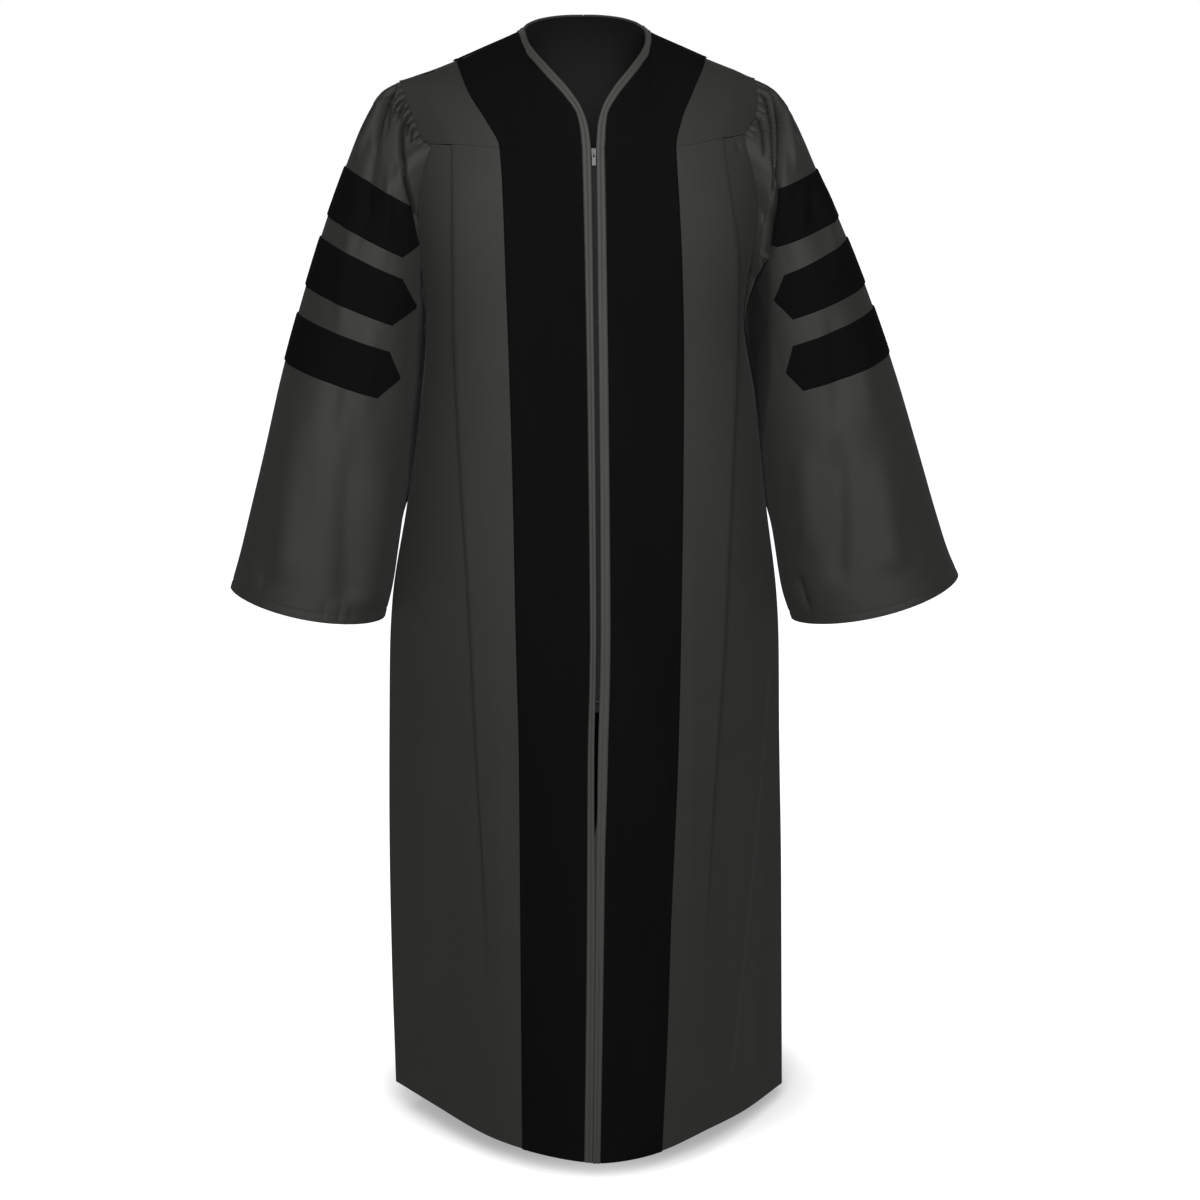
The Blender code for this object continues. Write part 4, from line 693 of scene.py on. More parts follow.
def front_yoke_grid(side_name):
    """Places on the front yoke: rows from the shoulder to the yoke seam, columns from neck to armhole."""
    side = SIDES[side_name]
    rows = np.arange((len(YOKE_STEPS) - 1) * YOKE_FINE + 1) / YOKE_FINE
    neck = {name: curve(rows, list(enumerate(column)), ("row", "value"), "value")
            for name, column in zip(NECKLINE_COLUMNS, np.array(NECKLINE).T)}
    inner_z, outer_z = neck["inner_z"], neck["outer_z"]
    toward = {}
    for name, level in (("inner", inner_z), ("outer", outer_z)):
        shift = np.clip((level - NECK_LOW_Z) / (NECK_HIGH_Z - NECK_LOW_Z), 0, 1)
        toward[name] = NECK_MIDDLE * shift + section(level, "opening_x") * (1 - shift)
    inner = neck["inner"] + side * toward["inner"]
    outer = neck["outer"] + side * toward["outer"]
    steps = curve(rows, list(enumerate(YOKE_STEPS)), ("row", "value"), "value")
    top_x, top_z = shoulder_end(side_name)
    velvet_ridge = ridge(side * velvet_top(side_name))
    velvet_z = velvet_ridge + (seam_height(VELVET_OUT, side_name) - velvet_ridge) * steps
    velvet = curve(velvet_z, EDGES, EDGE_COLUMNS, "velvet_" + side_name)
    corner_z = seam_height(ARM_OUT, side_name)
    arm_z = top_z + (corner_z - top_z) * steps
    arm = armhole_x(arm_z, side_name, "front")
    arm[0] = top_x
    lines = [(inner, inner_z), (outer, outer_z), (velvet, velvet_z), (arm, arm_z)]
    segments = (BAND_FINE, VELVET_SHARES, OUTER_FINE)
    x_parts, turn_parts = [], []
    for (x0, z0), (x1, z1), count in zip(lines[:-1], lines[1:], segments):
        keep = slice(0, -1) if count is not segments[-1] else slice(0, None)
        x_parts.append(between(x0, x1, count)[:, keep])
        turn_parts.append(between(turn_of(side * x0, z0), turn_of(side * x1, z1), count)[:, keep])
    x = side * np.hstack(x_parts)
    z = height_of(x, np.hstack(turn_parts))
    z[0] = ridge(x[0])
    drop = seam_height(side * x[-1], side_name) + GAP - z[-1]
    z += drop * np.clip((rows[:, None] - rows[-1] + YOKE_FINE) / YOKE_FINE, 0, 1)
    return x, z, np.broadcast_to(yoke_lift(yoke_share()), x.shape)


for side_name in SIDES:
    x, z, lift = front_yoke_grid(side_name)
    walls = [body_point(x, z, lift + half, "front") for half in (CLOTH / 2, -CLOTH / 2)]
    yoke = cloth_wall("yoke_%s_cloth" % side_name, *walls, np.stack([x, z], -1), charcoal, "charcoal_cloth",
                      ["yoke_" + side_name])
    width, length, area = YOKE_CUT[side_name]

# Back yoke
# One smooth piece across the shoulders behind the neck, seamed to both front yokes along the shoulders.
BACK_SEAM_Z = -0.170
NAPE_Z = 0.0208
NAPE_SHIFT = 0.0030
NAPE_FALL = (1.18, 1.15)
NECK_HALF = 0.0690
NECK_BAND = 0.0072
BAND_TURN = 0.060
VELVET_BACK_Z = -0.052
ARM_FINE, SEAM_FINE = 30, 30
RIM_BEND = 1.3


def back_yoke_grid():
    """Places on the back yoke: rows from the neck outwards, columns from one shoulder round to the other."""
    angle = np.radians(np.linspace(-90, 90, 2 * (ARM_FINE + SEAM_FINE) + 1))
    nape_x = NECK_MIDDLE + NAPE_SHIFT * np.cos(angle)
    neck_x = nape_x + NECK_HALF * np.sin(angle)
    side_z = ridge(NECK_MIDDLE + NECK_HALF)
    fall = np.minimum(NAPE_FALL[0] * (1 - np.cos(angle)) ** NAPE_FALL[1], 1)
    neck_turn = turn_of(neck_x, NAPE_Z - (NAPE_Z - side_z) * fall)
    band_x = nape_x + (NECK_HALF + NECK_BAND) * np.sin(angle)
    velvet_half = np.where(angle < 0, velvet_top("right") + NECK_MIDDLE, velvet_top("left") - NECK_MIDDLE)
    velvet_x = nape_x + velvet_half * np.sin(angle)
    rim_x, rim_z = [], []
    for side_name in SIDES:
        top_x, top_z = shoulder_end(side_name)
        z = top_z + (BACK_SEAM_Z - top_z) * np.linspace(0, 1, ARM_FINE + 1) ** RIM_BEND
        x = armhole_x(z, side_name, "back")
        x[0] = top_x
        rim_x.append(SIDES[side_name] * x)
        rim_z.append(z)
    seam = np.linspace(rim_x[0][-1], rim_x[1][-1], 2 * SEAM_FINE + 1)[1:-1]
    outer_x = np.concatenate([rim_x[0], seam, rim_x[1][::-1]])
    outer_z = np.concatenate([rim_z[0], np.full(len(seam), BACK_SEAM_Z), rim_z[1][::-1]])
    velvet_side = ridge(velvet_x)
    velvet_turn = turn_of(velvet_x, velvet_side + (VELVET_BACK_Z - velvet_side) * np.cos(angle))
    turns = [neck_turn, neck_turn + BAND_TURN * np.cos(angle), velvet_turn, turn_of(outer_x, outer_z)]
    places = [neck_x, band_x, velvet_x, outer_x]
    x_rows, turn_rows = [], []
    for first, shares in enumerate((BAND_FINE, VELVET_SHARES, OUTER_FINE)):
        keep = slice(0, -1) if first < 2 else slice(0, None)
        x_rows.append(between(places[first], places[first + 1], shares).T[keep])
        turn_rows.append(between(turns[first], turns[first + 1], shares).T[keep])
    x = np.vstack(x_rows)
    turn = np.vstack(turn_rows)
    turn[:, [0, -1]] = 0
    z = height_of(x, turn)
    z[-1, ARM_FINE:-ARM_FINE] = BACK_SEAM_Z + GAP
    return x, z, np.broadcast_to(yoke_lift(yoke_share())[:, None], x.shape)


x, z, lift = back_yoke_grid()
walls = [body_point(x, z, lift + half, "back") for half in (CLOTH / 2, -CLOTH / 2)]
# Painted shade: the inside of the back yoke, seen through the neck, is a near-black copy of the cloth standing in for
# the shade inside the neck
facing = cloth_material("painted_neck_shade", (0.010, 0.010, 0.0095), (0.013, 0.013, 0.012), 0.7, 0.03, 0.0007, 0.25)
yoke = cloth_wall("yoke_back_cloth", *walls, np.stack([x, z], -1), charcoal, "charcoal_cloth", ["yoke_back"],
                  facing=facing)

# Back panel
# One wide piece of the charcoal cloth, pressed into cartridge pleats where it meets the back yoke and hanging in
# soft flutes to the hem.
FLUTES = 10
FLUTED_WIDTH = 0.62
FLUTE_COLUMNS = ("z", "depth")
FLUTE_DEPTH = ((-0.170, 0.0016), (-0.235, 0.0040), (-0.500, 0.0060), (-0.900, 0.0070), (-1.360, 0.0085))
FLUTE_HEIGHTS = (0.8, 1.1, 0.9, 1.2, 0.85, 1.15, 0.9, 1.05, 0.8, 1.1)
BACK_LEVELS = (-0.205, -0.245, -0.295, UNDERARM_Z, -0.440, -0.570, -0.690, -0.850, -1.020, -1.190, HEM_Z)
FLUTE_FINE = 12
BACK_SIDE_FINE = 22
BACK_TUCK = (0.004, 0.0045)
BACK_CREASES = (
    (((-0.190, -0.40), (-0.198, -0.70), (-0.204, -1.00), (-0.214, -1.34)), 0.0030, 0.020, 0.022, 0.5, 0.1),
    (((-0.168, -0.60), (-0.172, -0.90), (-0.176, -1.34)), -0.0026, 0.016, 0.020, 0.5, 0.1),
    (((0.186, -0.36), (0.196, -0.66), (0.206, -1.02), (0.210, -1.34)), 0.0028, 0.018, 0.024, 0.5, 0.1),
    (((0.164, -0.50), (0.170, -0.85), (0.172, -1.34)), -0.0028, 0.018, 0.018, 0.4, 0.1),
    (((-0.150, -0.22), (-0.176, -0.28), (-0.186, -0.33)), -0.0018, 0.008, 0.012, 0.3, 0.5),
    (((0.146, -0.22), (0.170, -0.29), (0.182, -0.34)), -0.0016, 0.008, 0.012, 0.3, 0.5),
)


def flutes(across, z):
    """Cartridge pleats: a wave over the middle of the back, of uneven heights, fading towards the sides."""
    wave = (across / FLUTED_WIDTH + 1) * FLUTES / 2
    which = np.clip(wave.astype(int), 0, FLUTES - 1)
    fade = np.clip((1 - np.abs(across) / FLUTED_WIDTH) * FLUTES / 2, 0, 1)
    size = np.array(FLUTE_HEIGHTS)[which] * fade
    return curve(z, FLUTE_DEPTH, FLUTE_COLUMNS, "depth") * size * np.sin(2 * np.pi * wave)


def back_panel_grid():
    """Places on the back panel: rows from the back yoke seam to the hem, columns from side to side."""
    z = finer([BACK_SEAM_Z - GAP, *BACK_LEVELS], LEVEL_STEPS)
    half_width = section(z, "half_width")
    sway = section(z, "sway")
    fluted = np.linspace(-1, 1, FLUTES * FLUTE_FINE + 1) * FLUTED_WIDTH
    middle = half_width[:, None] * fluted + sway[:, None]
    parts = []
    for side_name, side in SIDES.items():
        edge = side * body_edge(z, side_name, "back")
        near = np.arcsin(side * FLUTED_WIDTH)
        far = np.arcsin(np.clip((edge - sway) / half_width, -1, 1))
        swept = np.sin(between(near, far, BACK_SIDE_FINE)) * half_width[:, None] + sway[:, None]
        parts.append(swept[:, 1:])
    x = np.hstack([parts[0][:, ::-1], middle, parts[1]])
    level_z = np.broadcast_to(z[:, None], x.shape).copy()
    rises = [curve(np.abs(x[-1]) / half_width[-1], HEM_RISE, HEM_COLUMNS, name) for name in SIDES]
    at_hem = np.clip((z - BACK_LEVELS[-2]) / (HEM_Z - BACK_LEVELS[-2]), 0, 1)
    level_z += np.where(x[-1] < 0, *rises) * at_hem[:, None]
    return x, level_z, np.full(x.shape, ARM_LIFT)


x, z, lift = back_panel_grid()
across = np.abs(x - section(z, "sway")) / section(z, "half_width")
lift = lift + creases(x, z, BACK_CREASES) * np.clip((1 - across) / 0.1, 0, 1)
z[0] += BACK_TUCK[0] * (across[0] < 0.9)
lift[0] -= BACK_TUCK[1] * (across[0] < 0.9)
walls = [body_point(x, z, lift + half, "back", flutes) for half in (CLOTH / 2, -CLOTH / 2)]
back = cloth_wall("back_cloth", *walls, np.stack([x, z], -1), charcoal, "charcoal_cloth", ["back"])

# Sleeves
# Long bell sleeves of the charcoal cloth, gathered finely into the armhole, with folds that fall from the gathers
# through the bars and a narrow turned hem at the wide cuff.
GATHERS = {"right": (10, 0.0026), "left": (8, 0.0036)}
BACK_GATHERS = (5, 0.0030)
GATHER_SIZES = (1.0, 0.7, 1.15, 0.8, 1.0, 1.25, 0.75, 1.1, 0.9, 1.2)
GATHER_SEAM = 0.35
HEAD_END = 0.45
SEAM_OUT, UNDERARM_OUT = -0.0016, 0.0
BAR_TIP = 0.03
BAR_CORNERS = {
    "right": (
        (0.203, 0.285, (0.045, 87.0), (0.012, 110.0), (0.112, 101.0)),
        (0.320, 0.404, (0.138, 108.0), (0.092, 134.0), (0.252, 109.0)),
        (0.452, 0.536, (0.307, 112.0), (0.328, 129.0), (0.432, 110.0)),
    ),
    "left": (
        (0.205, 0.285, (0.108, 68.0), (0.063, 103.0), (0.112, 97.0)),
        (0.320, 0.400, (0.172, 99.0), (0.167, 115.0), (0.262, 104.0)),
        (0.440, 0.519, (0.305, 110.0), (0.337, 122.0), (0.412, 111.0)),
    ),
}
BAR_ROWS_UNDER = ((0.040, 0.090), (0.160, 0.240), (0.360, 0.440))
HEAD_ROWS = (0.0, 0.25, 0.60)
HEM_ROWS = (0.27, 0.55, 0.80, 1.0)
SLEEVE_COLUMNS = ("along", "outer", "outer_z", "inner", "inner_z", "middle_y", "half_depth")
SLEEVES = {
    "right": (
        (0.00, 0.2275, -0.0530, 0.1986, -0.3350, 0.005, 0.060),
        (0.05, 0.2464, -0.0630, 0.2014, -0.3500, 0.006, 0.068),
        (0.12, 0.2698, -0.0985, 0.2042, -0.3720, 0.008, 0.076),
        (0.20, 0.2925, -0.1520, 0.2066, -0.3980, 0.010, 0.082),
        (0.30, 0.3193, -0.2230, 0.2098, -0.4310, 0.010, 0.086),
        (0.43, 0.3490, -0.3136, 0.2158, -0.4770, 0.010, 0.090),
        (0.56, 0.3760, -0.4050, 0.2230, -0.5250, 0.008, 0.094),
        (0.69, 0.3990, -0.4974, 0.2312, -0.5780, 0.006, 0.098),
        (0.80, 0.4185, -0.5720, 0.2384, -0.6250, 0.004, 0.101),
        (0.90, 0.4340, -0.6300, 0.2455, -0.6680, 0.002, 0.104),
        (1.00, 0.4460, -0.6690, 0.2560, -0.7090, 0.000, 0.106),
    ),
    "left": (
        (0.00, 0.2030, -0.0465, 0.1926, -0.3350, 0.005, 0.060),
        (0.05, 0.2273, -0.0600, 0.1960, -0.3500, 0.006, 0.068),
        (0.12, 0.2536, -0.0980, 0.2002, -0.3720, 0.008, 0.076),
        (0.20, 0.2790, -0.1540, 0.2040, -0.3980, 0.010, 0.082),
        (0.30, 0.3130, -0.2270, 0.2092, -0.4310, 0.010, 0.086),
        (0.43, 0.3510, -0.3190, 0.2166, -0.4810, 0.010, 0.090),
        (0.56, 0.3850, -0.4127, 0.2232, -0.5300, 0.008, 0.094),
        (0.69, 0.4152, -0.5077, 0.2300, -0.5850, 0.006, 0.098),
        (0.80, 0.4390, -0.5846, 0.2372, -0.6320, 0.004, 0.101),
        (0.90, 0.4560, -0.6350, 0.2458, -0.6820, 0.002, 0.104),
        (1.00, 0.4700, -0.6665, 0.2590, -0.7220, 0.000, 0.106),
    ),
}
GATHER_FINE = 12
BACK_GATHER_FINE = 10
LOWER_FRONT_FINE, LOWER_BACK_FINE = 84, 26
GATHER_WIDTH = 0.13
GATHER_PUFF = 0.35
GATHER_DEPTH = {"right": 1.15, "left": 0.55}
GATHER_START = 0.006
GATHER_LENGTHS = (0.07, 0.09, 0.05, 0.045, 0.06, 0.04, 0.055, 0.035, 0.05, 0.03)
SEAM_SINK, SEAM_REACH = 0.0022, 0.0040
FOLD_DEPTH = 1.4
PINCH_REACH, PINCH_DEPTH = (0.0013, 0.0024), 0.0030
# Strengths of the painted shade in narrow creases and gathers, along the armhole seam and in the hollow by the body
PINCH_SHADE, SEAM_SHADE, HOLLOW_SHADE = 0.95, 0.75, 0.92
TUCK_IN = {"right": 0.013, "left": 0.007}
TUCK_TURN, TUCK_REACH = 206, (13, 34)
TUCK_BEGIN, TUCK_END = (0.02, 0.12), (0.62, 0.80)
HOLLOW_Y, HOLLOW_EDGE = 0.014, 0.0014
HOLLOW_COLUMNS = ("z", "near", "far")
HOLLOW = {
    "right": ((-0.240, 0.2060, 0.2040), (-0.250, 0.2040, 0.2045), (-0.276, 0.2010, 0.2065), (-0.300, 0.1970, 0.2075),
              (-0.322, 0.1930, 0.2080), (-0.373, 0.1930, 0.2110), (-0.403, 0.1930, 0.2135), (-0.433, 0.1930, 0.2165),
              (-0.469, 0.1930, 0.2205), (-0.520, 0.1930, 0.2255)),
    "left": ((-0.240, 0.2190, 0.2170), (-0.257, 0.2150, 0.2180), (-0.276, 0.2095, 0.2190), (-0.300, 0.2020, 0.2205),
             (-0.326, 0.1955, 0.2215), (-0.373, 0.1930, 0.2215), (-0.421, 0.1930, 0.2210), (-0.457, 0.1930, 0.2205),
             (-0.520, 0.1930, 0.2205)),
}
HEAD_FINE = (8, 10, 14)
BETWEEN_FINE = 7
FOOT_FINE = (14, 12, 10)
BAR_SHARES = (0, 0.010, 0.025, 0.05, 0.10, 0.18, 0.26, 0.34, 0.42, 0.5, 0.58, 0.66, 0.74, 0.82, 0.90, 0.95, 0.975, 0.990)
CUFF_SHARES = (0, 0.12, 0.24, 0.36, 0.48, 0.58, 0.64, 0.68, 0.71, 0.74, 0.78, 0.84, 0.90, 0.95, 0.985, 1)
CUFF_LINE, CUFF_LINE_REACH, CUFF_LINE_DEPTH = 0.9745, 0.0034, 0.0007
SLEEVE_CUT = {"right": (0.62, 0.68, 0.312), "left": (0.64, 0.68, 0.328)}
SLEEVE_CREASES = {
    "right": (
        (((-0.231, -0.060), (-0.243, -0.072), (-0.250, -0.091), (-0.255, -0.118), (-0.257, -0.150)),
         -0.0070, 0.0050, 0.0034, 0.10, 0.55),
        (((-0.230, -0.057), (-0.240, -0.073), (-0.246, -0.098)), -0.0036, 0.0018, 0.0020, 0.1, 0.6),
        (((-0.225, -0.063), (-0.238, -0.081), (-0.241, -0.101), (-0.242, -0.119)), -0.0034, 0.0016, 0.0022, 0.1, 0.5),
        (((-0.221, -0.071), (-0.233, -0.085), (-0.235, -0.098)), -0.0024, 0.0014, 0.0018, 0.1, 0.6),
        (((-0.220, -0.075), (-0.228, -0.091), (-0.232, -0.103)), -0.0022, 0.0014, 0.0018, 0.1, 0.6),
        (((-0.217, -0.083), (-0.224, -0.091), (-0.227, -0.100)), -0.0020, 0.0012, 0.0018, 0.1, 0.6),
        (((-0.214, -0.090), (-0.222, -0.101), (-0.225, -0.117), (-0.225, -0.135), (-0.223, -0.154),
          (-0.218, -0.175), (-0.212, -0.196), (-0.207, -0.219)), -0.0058, 0.0020, 0.0036, 0.08, 0.10),
        (((-0.212, -0.096), (-0.217, -0.105), (-0.219, -0.119)), -0.0022, 0.0014, 0.0020, 0.1, 0.6),
        (((-0.209, -0.103), (-0.213, -0.115), (-0.214, -0.128)), -0.0018, 0.0014, 0.0020, 0.1, 0.6),
        (((-0.205, -0.113), (-0.207, -0.123), (-0.205, -0.133)), -0.0016, 0.0014, 0.0020, 0.1, 0.6),
        (((-0.248, -0.063), (-0.255, -0.082), (-0.270, -0.118), (-0.284, -0.152)), 0.0042, 0.0044, 0.0030, 0.2, 0.35),
        (((-0.250, -0.076), (-0.266, -0.101), (-0.280, -0.136)), -0.0026, 0.0040, 0.0030, 0.3, 0.5),
        (((-0.256, -0.125), (-0.260, -0.145), (-0.264, -0.170), (-0.266, -0.196), (-0.263, -0.230)),
         -0.0036, 0.0080, 0.0060, 0.25, 0.4),
        (((-0.240, -0.140), (-0.241, -0.180), (-0.243, -0.207), (-0.246, -0.245)), 0.0026, 0.0040, 0.0060, 0.3, 0.3),
        (((-0.276, -0.180), (-0.288, -0.235), (-0.298, -0.300), (-0.304, -0.380)), 0.0030, 0.0100, 0.0080, 0.3, 0.5),
        (((-0.296, -0.330), (-0.306, -0.390), (-0.314, -0.449), (-0.322, -0.520)), -0.0030, 0.0120, 0.0150, 0.4, 0.5),
        (((-0.264, -0.320), (-0.273, -0.402), (-0.278, -0.470)), 0.0028, 0.0120, 0.0100, 0.4, 0.5),
        (((-0.286, -0.440), (-0.293, -0.500), (-0.298, -0.580), (-0.299, -0.680)), -0.0050, 0.0150, 0.0170, 0.35, 0.1),
        (((-0.352, -0.400), (-0.363, -0.487), (-0.372, -0.559), (-0.382, -0.650)), 0.0036, 0.0180, 0.0160, 0.4, 0.15),
        (((-0.384, -0.520), (-0.396, -0.590), (-0.404, -0.655)), -0.0024, 0.0120, 0.0120, 0.5, 0.1),
        (((-0.252, -0.490), (-0.258, -0.576), (-0.267, -0.640), (-0.280, -0.690)), 0.0040, 0.0140, 0.0180, 0.3, 0.1),
        (((-0.403, -0.630), (-0.402, -0.662)), -0.0012, 0.0030, 0.0040, 0.4, 0.4),
        (((-0.327, -0.665), (-0.328, -0.690)), -0.0012, 0.0030, 0.0040, 0.4, 0.4),
        (((-0.308, -0.670), (-0.312, -0.700)), -0.0014, 0.0030, 0.0036, 0.4, 0.4),
        (((-0.295, -0.672), (-0.297, -0.704)), -0.0010, 0.0026, 0.0036, 0.4, 0.4),
    ),
    "left": (
        (((0.208, -0.064), (0.214, -0.076), (0.217, -0.092), (0.219, -0.112), (0.219, -0.136), (0.219, -0.156),
          (0.217, -0.177), (0.215, -0.200)), -0.0040, 0.0028, 0.0018, 0.06, 0.3),
        (((0.226, -0.068), (0.228, -0.090), (0.229, -0.112), (0.227, -0.142), (0.224, -0.164), (0.221, -0.193),
          (0.216, -0.218), (0.214, -0.239), (0.210, -0.275)), -0.0074, 0.0050, 0.0026, 0.12, 0.12),
        (((0.200, -0.088), (0.204, -0.100), (0.207, -0.116), (0.207, -0.132), (0.204, -0.148)),
         -0.0050, 0.0030, 0.0018, 0.1, 0.5),
        (((0.219, -0.060), (0.226, -0.072), (0.230, -0.088), (0.232, -0.112)), -0.0030, 0.0020, 0.0018, 0.1, 0.5),
        (((0.236, -0.072), (0.240, -0.100), (0.245, -0.133), (0.249, -0.172)), 0.0040, 0.0040, 0.0050, 0.2, 0.4),
        (((0.240, -0.078), (0.252, -0.105), (0.262, -0.140)), -0.0030, 0.0060, 0.0040, 0.2, 0.5),
        (((0.190, -0.112), (0.195, -0.109), (0.198, -0.115), (0.197, -0.124)), -0.0014, 0.0014, 0.0014, 0.2, 0.4),
        (((0.214, -0.205), (0.209, -0.212), (0.210, -0.224)), -0.0016, 0.0020, 0.0020, 0.3, 0.4),
        (((0.254, -0.160), (0.254, -0.195), (0.252, -0.240)), 0.0026, 0.0030, 0.0050, 0.3, 0.3),
        (((0.268, -0.150), (0.270, -0.190), (0.268, -0.240)), -0.0034, 0.0060, 0.0070, 0.3, 0.4),
        (((0.284, -0.170), (0.294, -0.240), (0.302, -0.310)), 0.0028, 0.0080, 0.0090, 0.3, 0.5),
        (((0.288, -0.300), (0.293, -0.371), (0.298, -0.432), (0.299, -0.490)), -0.0030, 0.0130, 0.0110, 0.4, 0.4),
        (((0.325, -0.330), (0.334, -0.409), (0.344, -0.480)), 0.0026, 0.0140, 0.0120, 0.4, 0.4),
        (((0.298, -0.460), (0.300, -0.546), (0.301, -0.604), (0.301, -0.670)), -0.0046, 0.0130, 0.0160, 0.3, 0.2),
        (((0.258, -0.480), (0.264, -0.570), (0.270, -0.640)), 0.0032, 0.0120, 0.0120, 0.3, 0.3),
        (((0.350, -0.480), (0.362, -0.567), (0.369, -0.650)), 0.0040, 0.0180, 0.0200, 0.4, 0.15),
        (((0.258, -0.650), (0.265, -0.680), (0.276, -0.703)), -0.0026, 0.0050, 0.0060, 0.3, 0.3),
        (((0.404, -0.650), (0.422, -0.643), (0.443, -0.634)), -0.0016, 0.0040, 0.0060, 0.4, 0.2),
    ),
}
BACK_SLEEVE_SHIFT = (0.97, -0.012)
BACK_SLEEVE_HEIGHT = 0.8


def resample(points, shares):
    """Points at shares of the length of a polyline."""
    steps = np.linalg.norm(np.diff(points, axis=0), axis=1)
    along = np.concatenate([[0], np.cumsum(steps)])
    along = along / along[-1]
    return np.stack([np.interp(shares, along, points[:, axis]) for axis in range(3)], axis=1)


def armhole_loop(side_name):
    """The armhole from the shoulder down the front and up the back, as points and a turn for each in degrees."""
    side = SIDES[side_name]
    x, z, lift = front_yoke_grid(side_name)
    front_top = body_point(x[:, -1], z[:, -1], lift[:, -1], "front")
    x, z, lift, _ = front_panel_grid(side_name)
    rows = slice(0, len(ARM_LEVELS) * LEVEL_STEPS + 1)
    front_low = body_point(x[rows, -1], z[rows, -1], lift[rows, -1], "front")
    column = 0 if side == RIGHT else -1
    x, z, lift = back_panel_grid()
    rows = slice(0, (BACK_LEVELS.index(UNDERARM_Z) + 1) * LEVEL_STEPS + 1)
    back_low = body_point(x[rows, column], z[rows, column], lift[rows, column], "back")[::-1]
    x, z, lift = back_yoke_grid()
    rim = slice(0, ARM_FINE + 1) if side == RIGHT else slice(-1, -ARM_FINE - 2, -1)
    back_top = body_point(x[-1, rim], z[-1, rim], lift[-1, rim], "back")[::-1]
    counts = (GATHERS[side_name][0] * GATHER_FINE, LOWER_FRONT_FINE, LOWER_BACK_FINE,
              BACK_GATHERS[0] * BACK_GATHER_FINE)
    loop = np.concatenate([resample(edge, np.arange(count) / count)
                           for edge, count in zip((front_top, front_low, back_low, back_top), counts)])
    top, bottom = loop[0, 2], UNDERARM_Z
    turn = np.degrees(np.arccos(np.clip(1 - 2 * (loop[:, 2] - top) / (bottom - top), -1, 1)))
    low = counts[0] + counts[1]
    turn[low:] = 360 - turn[low:]
    turn[0], turn[low] = 0, 180
    loop[:, 0] += side * (SEAM_OUT + (UNDERARM_OUT - SEAM_OUT) * np.sin(np.radians(turn / 2)))
    return loop, turn


def gather_waves(side_name, count):
    """Height of the gathers round the head, a mask of their troughs and how far each runs down: a narrow trough
    where each starts and a low crown between."""
    front, front_size = GATHERS[side_name]
    back, back_size = BACK_GATHERS
    waves, troughs = np.zeros(count), np.zeros(count)
    lengths = np.full(count, GATHER_LENGTHS[-1])
    runs = ((0, front, front_size, GATHER_FINE), (count - back * BACK_GATHER_FINE, back, back_size, BACK_GATHER_FINE))
    for first, number, size, fine in runs:
        phase = np.arange(number * fine) / fine
        trough = np.exp(-((phase - np.round(phase)) / GATHER_WIDTH) ** 2)
        crown = GATHER_PUFF * np.sin(np.pi * phase) ** 2 - trough
        troughs[first:first + number * fine] = trough ** 2 * min(GATHER_DEPTH[side_name], 1)
        sizes = np.interp(phase, np.arange(number), np.array(GATHER_SIZES)[:number])
        waves[first:first + number * fine] = GATHER_DEPTH[side_name] * size * sizes * crown
        lengths[first:first + number * fine] = np.interp(phase, np.arange(number), np.array(GATHER_LENGTHS)[:number])
    return waves, troughs, lengths


def nearest(values, wanted):
    """The index of the value nearest to the wanted one."""
    return int(np.argmin(np.abs(values - wanted)))


def sleeve_rings(side_name, along, turn):
    """Rings of the plain sleeve: lens-shaped sections hung between its outer fold and its underarm."""
    side = SIDES[side_name]
    outer, outer_z, inner, inner_z, middle_y, half_depth = [
        curve(along, SLEEVES[side_name], SLEEVE_COLUMNS, name) for name in SLEEVE_COLUMNS[1:]]
    cos, sin = np.cos(np.radians(turn)), np.sin(np.radians(turn))
    depth = np.sign(sin) * np.abs(sin) ** (1.0 + 0.25 * along) * half_depth
    return np.stack([side * (outer + inner + cos * (outer - inner)) / 2, middle_y - depth,
                     (outer_z + inner_z + cos * (outer_z - inner_z)) / 2], axis=-1)


def crossing(along, surface, start, end):
    """Place along the sleeve where each column crosses the plane seen as a straight line between two points."""
    over = (surface[..., 0] - start[0]) * (end[1] - start[1]) - (surface[..., 2] - start[1]) * (end[0] - start[0])
    row = np.maximum(np.argmax(over * over[:1] < 0, axis=0), 1)
    column = np.arange(over.shape[1])
    before, after = over[row - 1, column], over[row, column]
    return along[row - 1] + (along[row] - along[row - 1]) * np.clip(before / (before - after), 0, 1)


